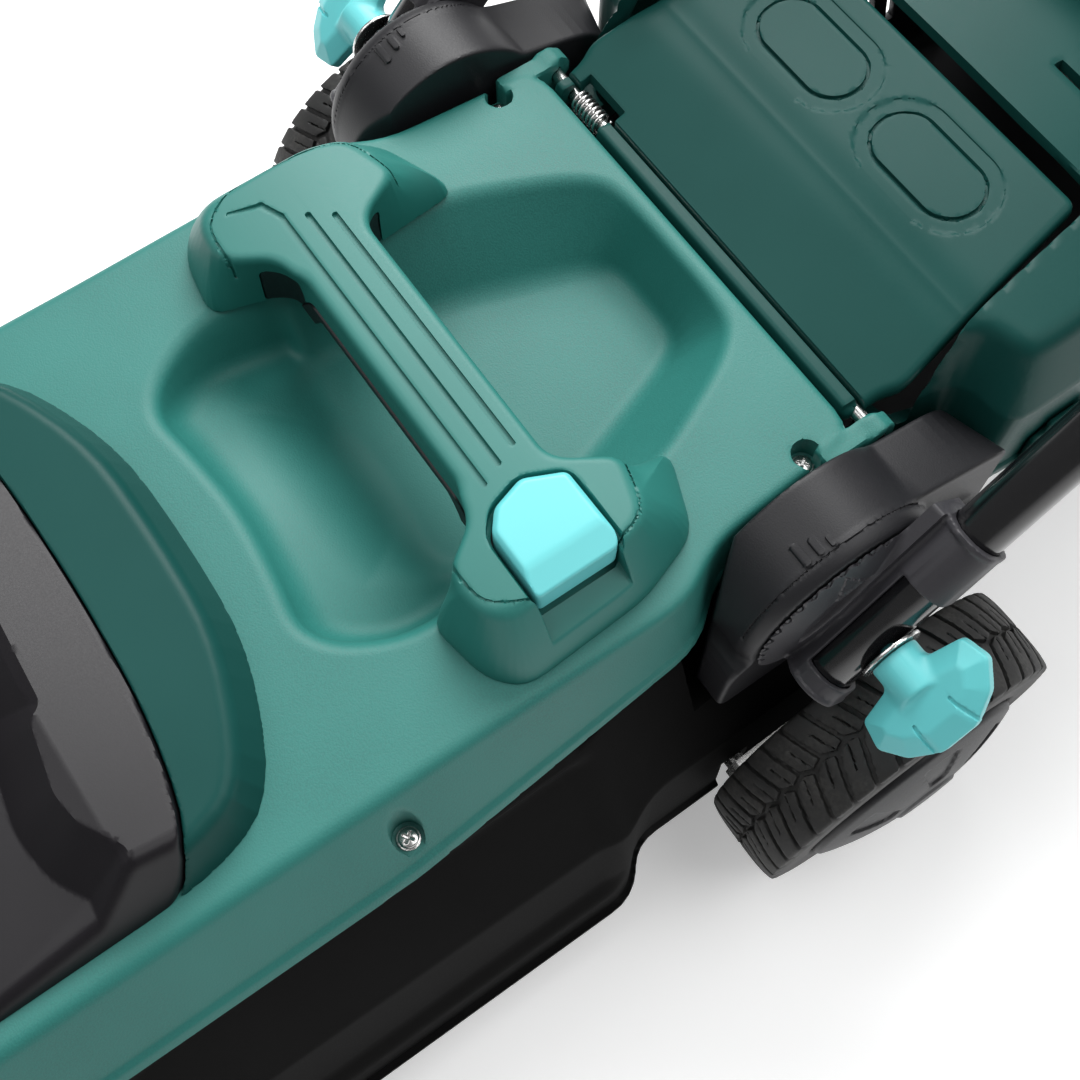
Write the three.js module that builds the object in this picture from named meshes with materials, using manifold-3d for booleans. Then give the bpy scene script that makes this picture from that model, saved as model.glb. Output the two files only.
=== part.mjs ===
// Walk-behind rotary lawn mower: deck, motor, blade, wheels, grass box and folding handle.
// Millimetres, +Z up, the front faces -Y, +X is the operator's left. Everything is laid out
// with y = 0 on the carry handle and z = 0 on the ground, then moved as a whole so that the
// origin lies on the ground under the middle of the machine's box.
import * as THREE from "three";
import { mergeVertices } from "three/addons/utils/BufferGeometryUtils.js";
import Module from "manifold-3d";

const wasm = await Module();
wasm.setup();

// ---------------------------------------------------------------- driving dimensions
const gap = 0.3; // running and resting gap between neighbouring solids
const wall = 3; // moulded wall
const deckTop = 232;
const shellEdge = 192; // lower edge of the green shell
const skirtBottom = 38;
const noseY = -395;
const deckRearY = 131;
const recessFloor = deckTop - 35;

const bladeY = -200;
const bladeRadius = 159;
const chamberRadius = 168;
const chamberRoof = 109;
const roofTop = 113;

const rear = { y: 109, radius: 82, x0: 177, x1: 223, armX: 169.5 };
const front = { y: -320, radius: 65, x0: 171, x1: 207, armX: 163.5 };
const facets = 24; // flats round a wheel
const crankLength = 60;
const crankAngle = THREE.MathUtils.degToRad(15); // half the swing of the height setting
const crankY = crankLength * Math.cos(crankAngle);
const crankZ = crankLength * Math.sin(crankAngle);
const axleRadius = 5;
const leverX = -108;
const leverLength = 85;

const grip = { y0: -20, y1: 14, top: deckTop + 35, under: deckTop + 11, split: deckTop + 17 };

const pivot = { y: 92, z: deckTop - 27 }; // handle angle pivot in the side brackets
const slope = THREE.MathUtils.degToRad(45);
const tubeX = 175.3;
const tubeRadius = 11;
const tubeWall = 1.2;
const upperX = 152.3;
const lowerLength = 420;
const foldAt = 395; // upper handle pivot, along the lower tubes
const handleEnd = 985;
const studRadius = 4;

const hinge = { y: 140, z: 224, radius: 3 }; // rod of the discharge flap
const boxSplit = 170;
const boxTop = 262;

// ---------------------------------------------------------------- materials
const paint = (color, roughness, metalness = 0) =>
  new THREE.MeshStandardMaterial({ color, roughness, metalness });
const green = paint(0x1f6158, 0.5);
const darkGreen = paint(0x184a44, 0.4);
const turquoise = paint(0x62cfc4, 0.45);
const black = paint(0x17171a, 0.55);
const tyreBlack = paint(0x1c1b1a, 0.85);
const steel = paint(0xb9bcc0, 0.3, 1);
const blackSteel = paint(0x101012, 0.25, 0.4);
const iron = paint(0x6f7276, 0.5, 0.8);
const copper = paint(0x8c5a3a, 0.45, 0.7);
const foam = paint(0x202022, 0.95);

// ---------------------------------------------------------------- solids
const mower = new THREE.Group();

function solid(geometry) {
  const g = geometry.clone();
  g.deleteAttribute("normal");
  g.deleteAttribute("uv");
  const merged = mergeVertices(g, 1e-4);
  return new wasm.Manifold(
    new wasm.Mesh({
      numProp: 3,
      vertProperties: new Float32Array(merged.attributes.position.array),
      triVerts: new Uint32Array(merged.index.array),
    }),
  );
}

function add(name, body, material) {
  const m = body.getMesh();
  const g = new THREE.BufferGeometry();
  g.setAttribute("position", new THREE.BufferAttribute(m.vertProperties, 3));
  g.setIndex(new THREE.BufferAttribute(m.triVerts, 1));
  g.computeVertexNormals();
  const mesh = new THREE.Mesh(g, material);
  mesh.name = name;
  mower.add(mesh);
}

function flip(geometry) {
  const g = geometry.clone().scale(-1, 1, 1);
  const order = g.index.array;
  for (let i = 0; i < order.length; i += 3) [order[i + 1], order[i + 2]] = [order[i + 2], order[i + 1]];
  return g;
}

// A solid on the +X side, or its mirror image on the -X side.
function sided(body, side) {
  if (side > 0) return body;
  const m = body.getMesh();
  const g = new THREE.BufferGeometry();
  g.setAttribute("position", new THREE.BufferAttribute(m.vertProperties, 3));
  g.setIndex(new THREE.BufferAttribute(m.triVerts, 1));
  return solid(flip(g));
}

const union = (...bodies) => bodies.reduce((a, b) => a.add(b));
const cut = (body, ...tools) => tools.reduce((a, b) => a.subtract(b), body);

function box(x0, x1, y0, y1, z0, z1) {
  const g = new THREE.BoxGeometry(x1 - x0, y1 - y0, z1 - z0);
  return solid(g.translate((x0 + x1) / 2, (y0 + y1) / 2, (z0 + z1) / 2));
}

// An outline with its corners rounded by quadratic arcs.
function roundShape(points, radius) {
  const shape = new THREE.Shape();
  const n = points.length;
  points.forEach((p, i) => {
    const here = new THREE.Vector2(...p);
    const before = new THREE.Vector2(...points[(i + n - 1) % n]).sub(here);
    const after = new THREE.Vector2(...points[(i + 1) % n]).sub(here);
    const r = Math.min(radius, before.length() * 0.45, after.length() * 0.45);
    const a = before.setLength(r).add(here);
    const b = after.setLength(r).add(here);
    if (i === 0) shape.moveTo(a.x, a.y);
    else shape.lineTo(a.x, a.y);
    if (radius > 0) shape.quadraticCurveTo(here.x, here.y, b.x, b.y);
  });
  return shape;
}

const extruded = (points, depth, radius) =>
  new THREE.ExtrudeGeometry(roundShape(points, radius), { depth, bevelEnabled: false, curveSegments: 2 });
// Outlines in plan (x, y), from the side (y, z) and from the front (x, z), given thickness.
const slabZ = (points, z0, z1, radius = 0) =>
  solid(extruded(points, z1 - z0, radius).translate(0, 0, z0));
const slabX = (points, x0, x1, radius = 0) =>
  solid(
    extruded(points, x1 - x0, radius)
      .applyMatrix4(new THREE.Matrix4().set(0, 0, 1, x0, 1, 0, 0, 0, 0, 1, 0, 0, 0, 0, 0, 1)),
  );

// A plan outline given by its +X half, front to rear, and mirrored.
const mirrored = (half) => [...half, ...half.map(([x, y]) => [-x, y]).reverse()];

// A closed solid through rings of equal point count; flat holds the first ring in its own plane.
function skin(rings, flat) {
  const n = flat.length;
  const last = (rings.length - 1) * n;
  const index = [];
  THREE.ShapeUtils.triangulateShape(flat, []).forEach(([a, b, c]) => {
    index.push(a, c, b);
    index.push(last + a, last + b, last + c);
  });
  for (let k = 0; k + 1 < rings.length; k++)
    for (let i = 0; i < n; i++) {
      const j = (i + 1) % n;
      const [a, b, c, d] = [k * n + i, k * n + j, k * n + n + j, k * n + n + i];
      index.push(a, b, c, a, c, d);
    }
  if (THREE.ShapeUtils.area(flat) < 0)
    for (let i = 0; i < index.length; i += 3) [index[i], index[i + 1]] = [index[i + 1], index[i]];
  const g = new THREE.BufferGeometry().setFromPoints(rings.flat());
  g.setIndex(index);
  return solid(g);
}

// A solid through plan outlines, each at its own height.
function loft(layers, radius) {
  const outlines = layers.map(([points]) => roundShape(points, radius).extractPoints(2).shape);
  const rings = outlines.map((o, k) => o.map((p) => new THREE.Vector3(p.x, p.y, layers[k][1])));
  return skin(rings, outlines[0]);
}

// A round bar along points of a path that lies flat in z = 0.
function flatBar(path, radius, sides) {
  const flat = Array.from({ length: sides }, (_, i) => {
    const turn = (2 * Math.PI * (i + 0.5)) / sides;
    return new THREE.Vector2(radius * Math.cos(turn), radius * Math.sin(turn));
  });
  const rings = path.map((p, i) => {
    const before = path[Math.max(i - 1, 0)];
    const after = path[Math.min(i + 1, path.length - 1)];
    const aside = new THREE.Vector3(before.y - after.y, after.x - before.x, 0).normalize();
    return flat.map((q) => new THREE.Vector3(p.x + aside.x * q.x, p.y + aside.y * q.x, q.y));
  });
  return skin(rings, flat);
}

// An outline moved out (or in) from its middle line, point by point.
const grown = (points, d) =>
  points.map(([x, y], i, all) => {
    const n = all.length;
    const before = new THREE.Vector2(...all[(i + n - 1) % n]);
    const after = new THREE.Vector2(...all[(i + 1) % n]);
    const here = new THREE.Vector2(x, y);
    const a = here.clone().sub(before).normalize();
    const b = after.clone().sub(here).normalize();
    const turn = new THREE.Vector2(a.y + b.y, -a.x - b.x);
    return [x + (turn.x * d) / (1 + a.dot(b)), y + (turn.y * d) / (1 + a.dot(b))];
  });

// Turned pieces: profile points are (radius, height along the axis).
function turned(profile, segments = 24) {
  const points = profile.map((p) => new THREE.Vector2(...p));
  const g = new THREE.LatheGeometry(points, segments, Math.PI / segments);
  g.rotateX(Math.PI / 2);
  const body = solid(g);
  if (body.volume() > 0) return body;
  const order = g.index.array;
  for (let i = 0; i < order.length; i += 3) [order[i], order[i + 1]] = [order[i + 1], order[i]];
  return solid(g);
}

const ring = (inner, outer, z0, z1) => [[inner, z0], [outer, z0], [outer, z1], [inner, z1], [inner, z0]];
const disc = (outer, z0, z1) => [[0, z0], [outer, z0], [outer, z1], [0, z1]];

// A turned piece is made along +Z; these put its axis along X, or along Z at a place.
const aboutX = (body, y, z) => body.rotate([0, 90, 0]).translate([0, y, z]);
const aboutZ = (body, x, y) => body.translate([x, y, 0]);
const pinX = (x0, x1, y, z, radius, segments = 16) => aboutX(turned(disc(radius, x0, x1), segments), y, z);
const pinZ = (x, y, z0, z1, radius, segments = 16) => aboutZ(turned(disc(radius, z0, z1), segments), x, y);

// A round bar along a curve.
function bar(curve, radius, steps, segments = 12) {
  const section = new THREE.Shape();
  section.absarc(0, 0, radius, 0, Math.PI * 2, false);
  const g = new THREE.ExtrudeGeometry(section, { steps, extrudePath: curve, curveSegments: segments });
  return solid(g);
}

// Handle pieces are laid out along the handle: s runs up its slope from the pivot and n stands
// square to it, up and forward.
const along = (s, n = 0) => [
  pivot.y + s * Math.cos(slope) - n * Math.sin(slope),
  pivot.z + s * Math.sin(slope) + n * Math.cos(slope),
];
const onHandle = (body) =>
  body.rotate([THREE.MathUtils.radToDeg(slope), 0, 0]).translate([0, pivot.y, pivot.z]);
const pinY = (x, z, y0, y1, radius) =>
  turned(disc(radius, y0, y1), 16).rotate([-90, 0, 0]).translate([x, 0, z]);

// ---------------------------------------------------------------- deck
const screwSeats = [
  { name: "front", x: 139, y: -103, floor: 206 },
  { name: "rear", x: 108, y: 108, floor: deckTop - 6 },
];
const seatRadius = 6.5;

function upperShell() {
  const top = [
    [100, noseY + 12], [125, -356], [128, -300],
    [128, -97], [132, 35], [118, 54], [112, deckRearY],
  ];
  const edge = [
    [110, noseY - 1], [143, -370], [151, -300],
    [151, -97], [137, 35], [118, 56], [112, deckRearY],
  ];
  const outer = loft([[mirrored(edge), shellEdge], [mirrored(top), deckTop]], 12);
  const hollow = loft(
    [
      [grown(mirrored(edge), -wall), shellEdge - 1],
      [grown(mirrored(top), -wall), deckTop - wall],
    ],
    10,
  );
  const mouth = mirrored([[55, -93], [80, -58], [76, 58], [52, 111], [42, 122]]);
  const floor = mirrored([[40, -55], [58, -35], [44, 45], [30, 98], [22, 111]]);
  const bucket = loft([[grown(floor, wall), recessFloor - wall], [grown(mouth, wall), deckTop]], 12);
  const cavity = loft([[floor, recessFloor], [mouth, deckTop], [mouth, deckTop + 2]], 12);
  let body = cut(union(cut(outer, hollow), bucket), cavity, pinZ(0, bladeY, 150, 300, 62, 32));
  for (const side of [1, -1]) {
    for (const seat of screwSeats) {
      const post = pinZ(side * seat.x, seat.y, shellEdge, deckTop, seatRadius + 2.5).intersect(outer);
      body = body.add(post);
      body = cut(body, pinZ(side * seat.x, seat.y, seat.floor, deckTop + 5, seatRadius));
      body = cut(body, pinZ(side * seat.x, seat.y, shellEdge - 1, deckTop, 2.3, 10));
    }
    const lug = box(111.5, 117, 112, 147, 214, 230);
    body = body.add(sided(lug, side));
  }
  return cut(body, pinX(-130, 130, hinge.y, hinge.z, hinge.radius + gap));
}
add("deck_upper_shell", upperShell(), green);

function lowerShell() {
  const low = [
    [110, noseY - 1], [158, -380], [161, -262],
    [188, -244], [188, -24], [168, -8], [167, deckRearY],
  ];
  const mid = [
    [110, noseY], [152, -378], [158, -262],
    [176, -244], [178, -24], [166, -2], [165, deckRearY],
  ];
  const high = [
    [108, noseY + 2], [139, -368], [146, -262],
    [147, -244], [145, -24], [135, 34], [116, deckRearY],
  ];
  const layers = [[mirrored(low), skirtBottom], [mirrored(mid), 120], [mirrored(high), shellEdge - 0.6]];
  const outer = loft(layers, 10);
  const loftSpace = mirrored([[106, noseY + 8], [133, -366], [140, -262], [140, 12], [108, 20]]);
  const tunnel = [[-60, 80], [deckRearY + 2, 84], [deckRearY + 2, 165], [40, 150], [-60, chamberRoof - 1]];
  let body = cut(
    outer,
    slabZ(loftSpace, roofTop, shellEdge, 8),
    aboutZ(turned(disc(chamberRadius, skirtBottom - 1, chamberRoof), 40), 0, bladeY),
    slabX(tunnel, -72, 72),
    aboutZ(turned(disc(13, 100, 120), 20), 0, bladeY),
  );
  for (const end of [front, rear]) {
    const y = end.y - crankY;
    const top = end.radius - crankZ + axleRadius + 1;
    body = cut(body, box(-190, 190, y - 8, y + 8, 0, top));
    body = cut(body, box(leverX - 5, leverX + 5, y - 8, y + 52, top - 12, roofTop + 50));
  }
  for (const side of [1, -1]) {
    body = cut(body, sided(box(118.5, 200, 28, 140, 151.5, 200), side));
    body = cut(body, sided(box(84, 112, 14, 124, 95, 200), side));
  }
  return body;
}
add("deck_lower_shell", lowerShell(), black);

// The raised hood: its rear band is green, and the black cover takes the rest.
const hoodFoot = mirrored([[92, -380], [115, -350], [119, -290], [118, -168], [106, -136], [52, -113]]);
const hoodShoulder = grown(hoodFoot, -7);
const hoodCrown = mirrored([[66, -362], [88, -340], [96, -290], [96, -206], [84, -184], [40, -178]]);
const coverRear = mirrored([[130, noseY], [122, -186], [108, -166], [60, -157]]);

function hoodCollar() {
  const base = deckTop + gap;
  const body = loft([[hoodFoot, base], [hoodShoulder, deckTop + 18]], 14);
  return cut(body, slabZ(grown(coverRear, 0.5), base - 1, deckTop + 30, 6));
}
add("motor_hood_collar", hoodCollar(), green);

function hoodCover() {
  const base = deckTop + gap;
  const layers = [[hoodFoot, base], [hoodShoulder, deckTop + 20], [hoodCrown, deckTop + 32]];
  const hollow = [
    [grown(hoodFoot, -wall), base - 1],
    [grown(hoodShoulder, -wall), deckTop + 17],
    [grown(hoodCrown, -wall), deckTop + 29],
  ];
  const rearWall = slabZ(grown(coverRear, -wall), base - 2, deckTop + 17, 6);
  const outer = loft(layers, 12).intersect(slabZ(coverRear, base - 1, deckTop + 40, 6));
  return cut(outer, loft(hollow, 10).intersect(rearWall));
}
add("motor_hood_cover", hoodCover(), black);

const headTop = [
  [58, -20], [69, -27], [82, -42], [98, -41], [107, -36],
  [108, 14], [103, 29], [78, 37], [64, 15],
];
const headBase = [
  [74, -20], [76, -34], [82, -53], [109, -49], [122, -38],
  [120, 17], [109, 50], [76, 62], [74, 15],
];
const buttonOutline = [[66, -1], [71, -15], [79, -22], [113, -22], [113, 13], [106, 16], [74, 15]];

function handleCover() {
  const beam = slabX(
    [[grip.y0, grip.split], [grip.y1, grip.split], [grip.y1, grip.top - 6], [grip.y1 - 6, grip.top],
      [grip.y0 + 6, grip.top], [grip.y0, grip.top - 6]],
    -62, 62,
  );
  let body = beam;
  for (const side of [1, -1]) {
    const pillar = loft([[headBase, deckTop + gap], [headTop, grip.split], [headTop, grip.top]], 5);
    body = body.add(sided(pillar, side));
  }
  const pocket = slabZ([...grown(buttonOutline, 1)], grip.top - 24, grip.top + 5);
  return cut(body, pocket);
}
add("carry_handle_cover", handleCover(), green);

function handleInsert() {
  const profile = [[-72.5, deckTop + 1], [-57, grip.split - gap], [57, grip.split - gap], [72.5, deckTop + 1],
    [68, deckTop + 1], [54, grip.under], [-54, grip.under], [-68, deckTop + 1]];
  const g = extruded(profile, grip.y1 - grip.y0 - 4, 0);
  g.rotateX(Math.PI / 2).translate(0, grip.y1 - 2, 0);
  return solid(g);
}
add("carry_handle_insert", handleInsert(), black);

function heightButton() {
  const crown = grown(buttonOutline, -2.5);
  return loft([[buttonOutline, grip.top - 13], [buttonOutline, grip.top + 1], [crown, grip.top + 4]], 2);
}
add("height_button", heightButton(), turquoise);

for (const [side, word] of [[1, "left"], [-1, "right"]])
  for (const seat of screwSeats) {
    const z = seat.floor + gap;
    const profile = [[0, z - 12], [1.9, z - 11], [1.9, z], [5, z], [5, z + 1.6], [3.2, z + 3], [0, z + 3.2]];
    add(`deck_screw_${seat.name}_${word}`, aboutZ(turned(profile, 14), side * seat.x, seat.y), steel);
  }

// ---------------------------------------------------------------- side brackets and lower handle
function bracket() {
  const inner = [[34, 152], [34, 200], [40, 218], [52, 226], [150, 227], [168, 219], [178, 200], [178, 152]];
  const outer = [[36, 152], [40, 186], [60, 196], [130, 196], [178, 176], [178, 152]];
  const round = pinX(119.5, 157.5, pivot.y, pivot.z, 46, 28);
  const cap = slabX([[30, 152], [30, 260], [178, 260], [178, 152]], 119.5, 157.5).intersect(round);
  const body = union(slabX(inner, 119.5, 138, 6), slabX(outer, 119.5, 157.5, 4), cap);
  const shellCorner = slabZ([[118, 28], [141, 28], [141, 37], [121.5, 60], [118, 62]], 150, 260);
  return cut(body, pinX(140, 170, pivot.y, pivot.z, studRadius + 0.5), shellCorner);
}

function holder() {
  const plate = turned(disc(40, 158, 163.2), 28).rotate([0, 90, 0]);
  const arm = box(158, 163.8, 0, 58, -14, 14);
  const cups = [[-33, -24], [30, 58]].map(([s0, s1]) => box(158, 188.2, s0, s1, -14, 14));
  const body = union(plate, arm, ...cups);
  const bores = [pinY(tubeX, 0, -60, 80, tubeRadius + gap), pinX(150, 200, 0, 0, studRadius + 0.5)];
  return onHandle(cut(body, ...bores));
}

function lowerTube() {
  const inside = pinY(tubeX, 0, -40, lowerLength + 10, tubeRadius - tubeWall);
  const body = cut(pinY(tubeX, 0, -30, lowerLength, tubeRadius), inside);
  const holes = [0, foldAt].map((s) => pinX(150, 200, s, 0, studRadius + 0.5));
  return onHandle(cut(body, ...holes));
}

// A wing knob on a stud: a round hub and a flat fan that widens outwards.
function wingKnob(x, wing) {
  const hub = turned(disc(11, x, x + 16), 18).rotate([0, 90, 0]);
  const stud = turned(disc(studRadius, x - 46, x + 1), 12).rotate([0, 90, 0]);
  const half = [[x + 10, 9], [x + 12, wing - 4], [x + 24, wing], [x + 36, wing - 9], [x + 41, 8]];
  const fan = slabZ([...half, ...half.map(([a, b]) => [a, -b]).reverse()], -7, 7, 3);
  return union(hub, stud, fan);
}

for (const [side, word] of [[1, "left"], [-1, "right"]]) {
  add(`handle_bracket_${word}`, sided(bracket(), side), black);
  add(`handle_holder_${word}`, sided(holder(), side), black);
  add(`lower_tube_${word}`, sided(lowerTube(), side), blackSteel);
  const washer = turned(ring(studRadius + 0.5, 14, 186.7, 188.4), 20).rotate([0, 90, 0]);
  add(`clamp_washer_${word}`, sided(onHandle(washer), side), steel);
  add(`angle_knob_${word}`, sided(onHandle(wingKnob(188.7, 30)), side), turquoise);
  add(`fold_knob_${word}`, sided(onHandle(wingKnob(187, 26).translate([0, foldAt, 0])), side), turquoise);
}

// ---------------------------------------------------------------- upper handle
// The U of the upper handle, with its legs drawn longer by extra.
function handlePath(extra) {
  const bend = 60;
  const steps = 6;
  const path = [];
  for (const side of [1, -1]) {
    const leg = new THREE.Vector2(side * upperX, foldAt - 30 - extra);
    const turn = [];
    for (let i = 0; i <= steps; i++) {
      const angle = (i / steps) * (Math.PI / 2);
      const x = side * (upperX - bend + bend * Math.cos(angle));
      turn.push(new THREE.Vector2(x, handleEnd - bend + bend * Math.sin(angle)));
    }
    path.push(...(side > 0 ? [leg, ...turn] : [...turn.reverse(), leg]));
  }
  return path;
}

function upperTube() {
  const body = cut(flatBar(handlePath(0), tubeRadius, 12), flatBar(handlePath(5), tubeRadius - tubeWall, 12));
  return onHandle(cut(body, pinX(-200, 200, foldAt, 0, studRadius + 0.5)));
}
add("upper_handle_tube", upperTube(), blackSteel);

const bailAt = 880;
function switchBox() {
  const outline = [[-190, 810], [-190, 912], [-126, 912], [-112, 898], [-112, 824], [-126, 810]];
  const body = slabZ(outline, -22, 30, 10);
  const leg = pinY(-upperX, 0, 800, 1000, tubeRadius + gap);
  const bailHole = pinX(-130, -100, bailAt, 18, 4.8);
  const buttonHole = pinZ(-166, 875, 18, 40, 9.5);
  return onHandle(cut(body, leg, bailHole, buttonHole));
}
add("switch_box", switchBox(), black);

const startButton = onHandle(aboutZ(turned([[0, 23], [9, 23], [9, 34], [7.5, 36], [0, 36]], 18), -166, 875));
add("start_button", startButton, turquoise);

function bailBearing() {
  const body = box(136, 168, bailAt - 14, bailAt + 14, -15, 26);
  return onHandle(cut(body, pinY(upperX, 0, 800, 1000, tubeRadius + gap), pinX(130, 150, bailAt, 18, 4.8)));
}
add("bail_bearing", bailBearing(), black);

function bailLever() {
  const [x0, x1, reach, lift] = [-122, 146, handleEnd + 4, 40];
  const at = (x, s, n) => new THREE.Vector3(x, s, n);
  const points = [
    at(x0, bailAt, 18), at(x0 + 20, bailAt, 18), at(x0 + 34, bailAt + 18, 24),
    at(x0 + 44, reach - 16, lift - 4), at(x0 + 60, reach, lift), at(x1 - 60, reach, lift),
    at(x1 - 44, reach - 16, lift - 4), at(x1 - 30, bailAt + 18, 24),
    at(x1 - 18, bailAt, 18), at(x1, bailAt, 18),
  ];
  return onHandle(bar(new THREE.CatmullRomCurve3(points, false, "catmullrom", 0.2), 4.2, 32, 4));
}
add("bail_lever", bailLever(), blackSteel);

const sleeve = turned(ring(tubeRadius + gap, tubeRadius + 4, -86, 86), 18).rotate([0, 90, 0]);
add("handle_grip", onHandle(sleeve.translate([0, handleEnd, 0])), foam);

// ---------------------------------------------------------------- motor, blade and fan
add("motor_stator", aboutZ(turned([[11.3, 113.6], [52, 113.6], [52, 205], [33, 205], [33, 124.5],
  [11.3, 124.5], [11.3, 113.6]], 28), 0, bladeY), copper);
add("motor_end_cap", aboutZ(turned(ring(11.3, 54, 205.3, 213), 28), 0, bladeY), iron);
add("motor_bearing_lower", aboutZ(turned(ring(5.3, 11, 114.5, 123), 20), 0, bladeY), steel);
add("motor_bearing_upper", aboutZ(turned(ring(5.3, 11, 205.6, 212.6), 20), 0, bladeY), steel);
add("motor_shaft", aboutZ(turned([[4.3, 67], [5, 67], [5, 216], [0, 216], [0, 86], [4.3, 86], [4.3, 67]], 16),
  0, bladeY), steel);
add("rotor_core", aboutZ(turned(ring(5.3, 31, 129, 200), 24), 0, bladeY), copper);

function coolingFan() {
  const profile = [
    [5.3, 68], [15, 68], [15, 84], [52, 84], [52, 87], [15, 87], [15, 98], [5.3, 98], [5.3, 68],
  ];
  const hub = turned(profile, 24);
  const vanes = [0, 1, 2, 3, 4, 5].map((k) => box(14, 51, -1, 1, 86.5, 97).rotate([0, 0, k * 60]));
  return aboutZ(union(hub, ...vanes), 0, bladeY);
}
add("cooling_fan", coolingFan(), black);

function blade() {
  const half = [[22, -bladeRadius], [24, -95], [20, -30], [20, 30], [24, 95], [22, bladeRadius]];
  const flat = slabZ(mirrored(half), 63, 66.5, 3);
  const lift = slabX([[92, 66], [bladeRadius - 2, 66], [bladeRadius - 2, 78], [110, 70]], 12, 21);
  const tails = [lift, lift.rotate([0, 0, 180])];
  return aboutZ(cut(union(flat, ...tails), pinZ(0, 0, 50, 80, 5.3)), 0, bladeY);
}
add("blade", blade(), iron);
const boltProfile = [[0, 53], [11, 53], [11, 62.6], [4, 62.6], [4, 85], [0, 85]];
add("blade_bolt", aboutZ(turned(boltProfile, 12), 0, bladeY), steel);

// ---------------------------------------------------------------- axles, height link and wheels
function axle(end) {
  const barY = end.y - crankY;
  const barZ = end.radius - crankZ;
  let body = pinX(-end.armX - 1, end.armX + 1, barY, barZ, axleRadius);
  for (const side of [1, -1]) {
    const arm = [
      [barY - 7, barZ - 5], [barY - 5, barZ + 7], [end.y - 3, end.radius + 7],
      [end.y + 7, end.radius + 3], [end.y + 5, end.radius - 7], [barY + 3, barZ - 8],
    ];
    body = body.add(sided(slabX(arm, end.armX, end.armX + 5, 3), side));
    body = body.add(sided(pinX(end.armX + 4, end.x1 + 4, end.y, end.radius, axleRadius), side));
  }
  const tip = barZ + leverLength;
  const lever = [[barY - 6, barZ], [barY - 6, tip], [barY, tip + 6], [barY + 6, tip], [barY + 6, barZ]];
  body = body.add(slabX(lever, leverX - 3, leverX + 3));
  return body.add(pinX(leverX + 2, leverX + 10, barY, tip, 3, 12));
}
add("rear_axle", axle(rear), steel);
add("front_axle", axle(front), steel);

function linkRod() {
  const ends = [front, rear].map((e) => [e.y - crankY, e.radius - crankZ + leverLength]);
  const [a, b] = ends;
  const tilt = Math.atan2(b[1] - a[1], b[0] - a[0]);
  const side = (p, d) => [p[0] - Math.sin(tilt) * d, p[1] + Math.cos(tilt) * d];
  const strip = slabX([side(a, -3.5), side(b, -3.5), side(b, 3.5), side(a, 3.5)], leverX + 3.6, leverX + 7.6);
  const eyes = ends.map(([y, z]) => pinX(leverX + 3.6, leverX + 7.6, y, z, 7));
  const holes = [[a, 4], [b, 3.4]].map(([at, radius]) => pinX(leverX, leverX + 20, at[0], at[1], radius));
  return cut(union(strip, ...eyes), ...holes);
}
add("height_link_rod", linkRod(), steel);

function wheel(end) {
  const { radius, x0, x1 } = end;
  const out = radius / Math.cos(Math.PI / facets);
  const rim = radius * 0.7;
  const profile = [[axleRadius + 0.4, x0 + 1], [16, x0 + 1], [16, x0 + 18], [rim, x0 + 18], [rim, x0 + 1],
    [out - 4, x0], [out, x0 + 5], [out, x1 - 5], [out - 4, x1], [rim, x1], [rim, x0 + 24], [16, x0 + 24],
    [16, x1 + 3], [axleRadius + 0.4, x1 + 3], [axleRadius + 0.4, x0 + 1]];
  return aboutX(turned(profile, facets), end.y, radius);
}

function hubCap(end) {
  const { radius, x1 } = end;
  const rim = radius * 0.7 - 1.2;
  const profile = [[0, x1 + 4.6], [14, x1 + 4.6], [rim - 4, x1 - 4], [rim - 2, x1 - 12], [rim, x1 - 12],
    [rim, x1 + 1], [rim * 0.5, x1 + 11], [0, x1 + 12]];
  return aboutX(turned(profile, facets), end.y, radius);
}

for (const [side, word] of [[1, "left"], [-1, "right"]])
  for (const [end, place] of [[front, "front"], [rear, "rear"]]) {
    add(`wheel_${place}_${word}`, sided(wheel(end), side), tyreBlack);
    add(`hub_cap_${place}_${word}`, sided(hubCap(end), side), black);
  }

// ---------------------------------------------------------------- discharge flap and grass box
function flap() {
  const profile = [[135, 219], [134.6, 226], [137, 229.5], [146, 232], [158, 238], [176, 247], [258, 255],
    [260, 251], [178, 242.5], [160, 233], [150, 227], [146, 219]];
  const plan = mirrored([[110, 130], [109, 150], [103, 180], [89, 262]]);
  const body = slabX(profile, -112, 112).intersect(slabZ(plan, 200, 300));
  const springRoom = box(-94, -70, 130, 148, 210, 240);
  return cut(body, pinX(-130, 130, hinge.y, hinge.z, hinge.radius + 0.4), springRoom);
}
add("discharge_flap", flap(), darkGreen);
add("flap_hinge_rod", pinX(-118, 118, hinge.y, hinge.z, hinge.radius, 14), steel);
const springCoil = turned(ring(hinge.radius + 0.5, hinge.radius + 2.4, -92, -72), 14).rotate([0, 90, 0]);
add("flap_spring", springCoil.translate([0, hinge.y, hinge.z]), steel);

function boxLid() {
  const foot = mirrored([[112, 152], [117, 184], [143, 186], [145, 200], [145, 480], [110, 512]]);
  const crown = mirrored([[106, 158], [110, 190], [129, 196], [131, 208], [128, 465], [100, 492]]);
  const outer = loft([[foot, boxSplit + gap], [foot, 228], [crown, boxTop]], 10);
  const inside = [
    [grown(foot, -wall), boxSplit - 1],
    [grown(foot, -wall), 227],
    [grown(crown, -wall), boxTop - wall],
  ];
  const hollow = loft(inside, 8);
  const notch = slabZ(mirrored([[114, 120], [112, 165], [106, 187], [95, 266]]), 205, 300);
  const mouth = box(-95, 95, 140, 175, 160, 230);
  const vent = box(-26, 26, 404, 436, 240, 270);
  return cut(outer, hollow, notch, mouth, vent);
}
add("grass_box_lid", boxLid(), green);

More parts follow.
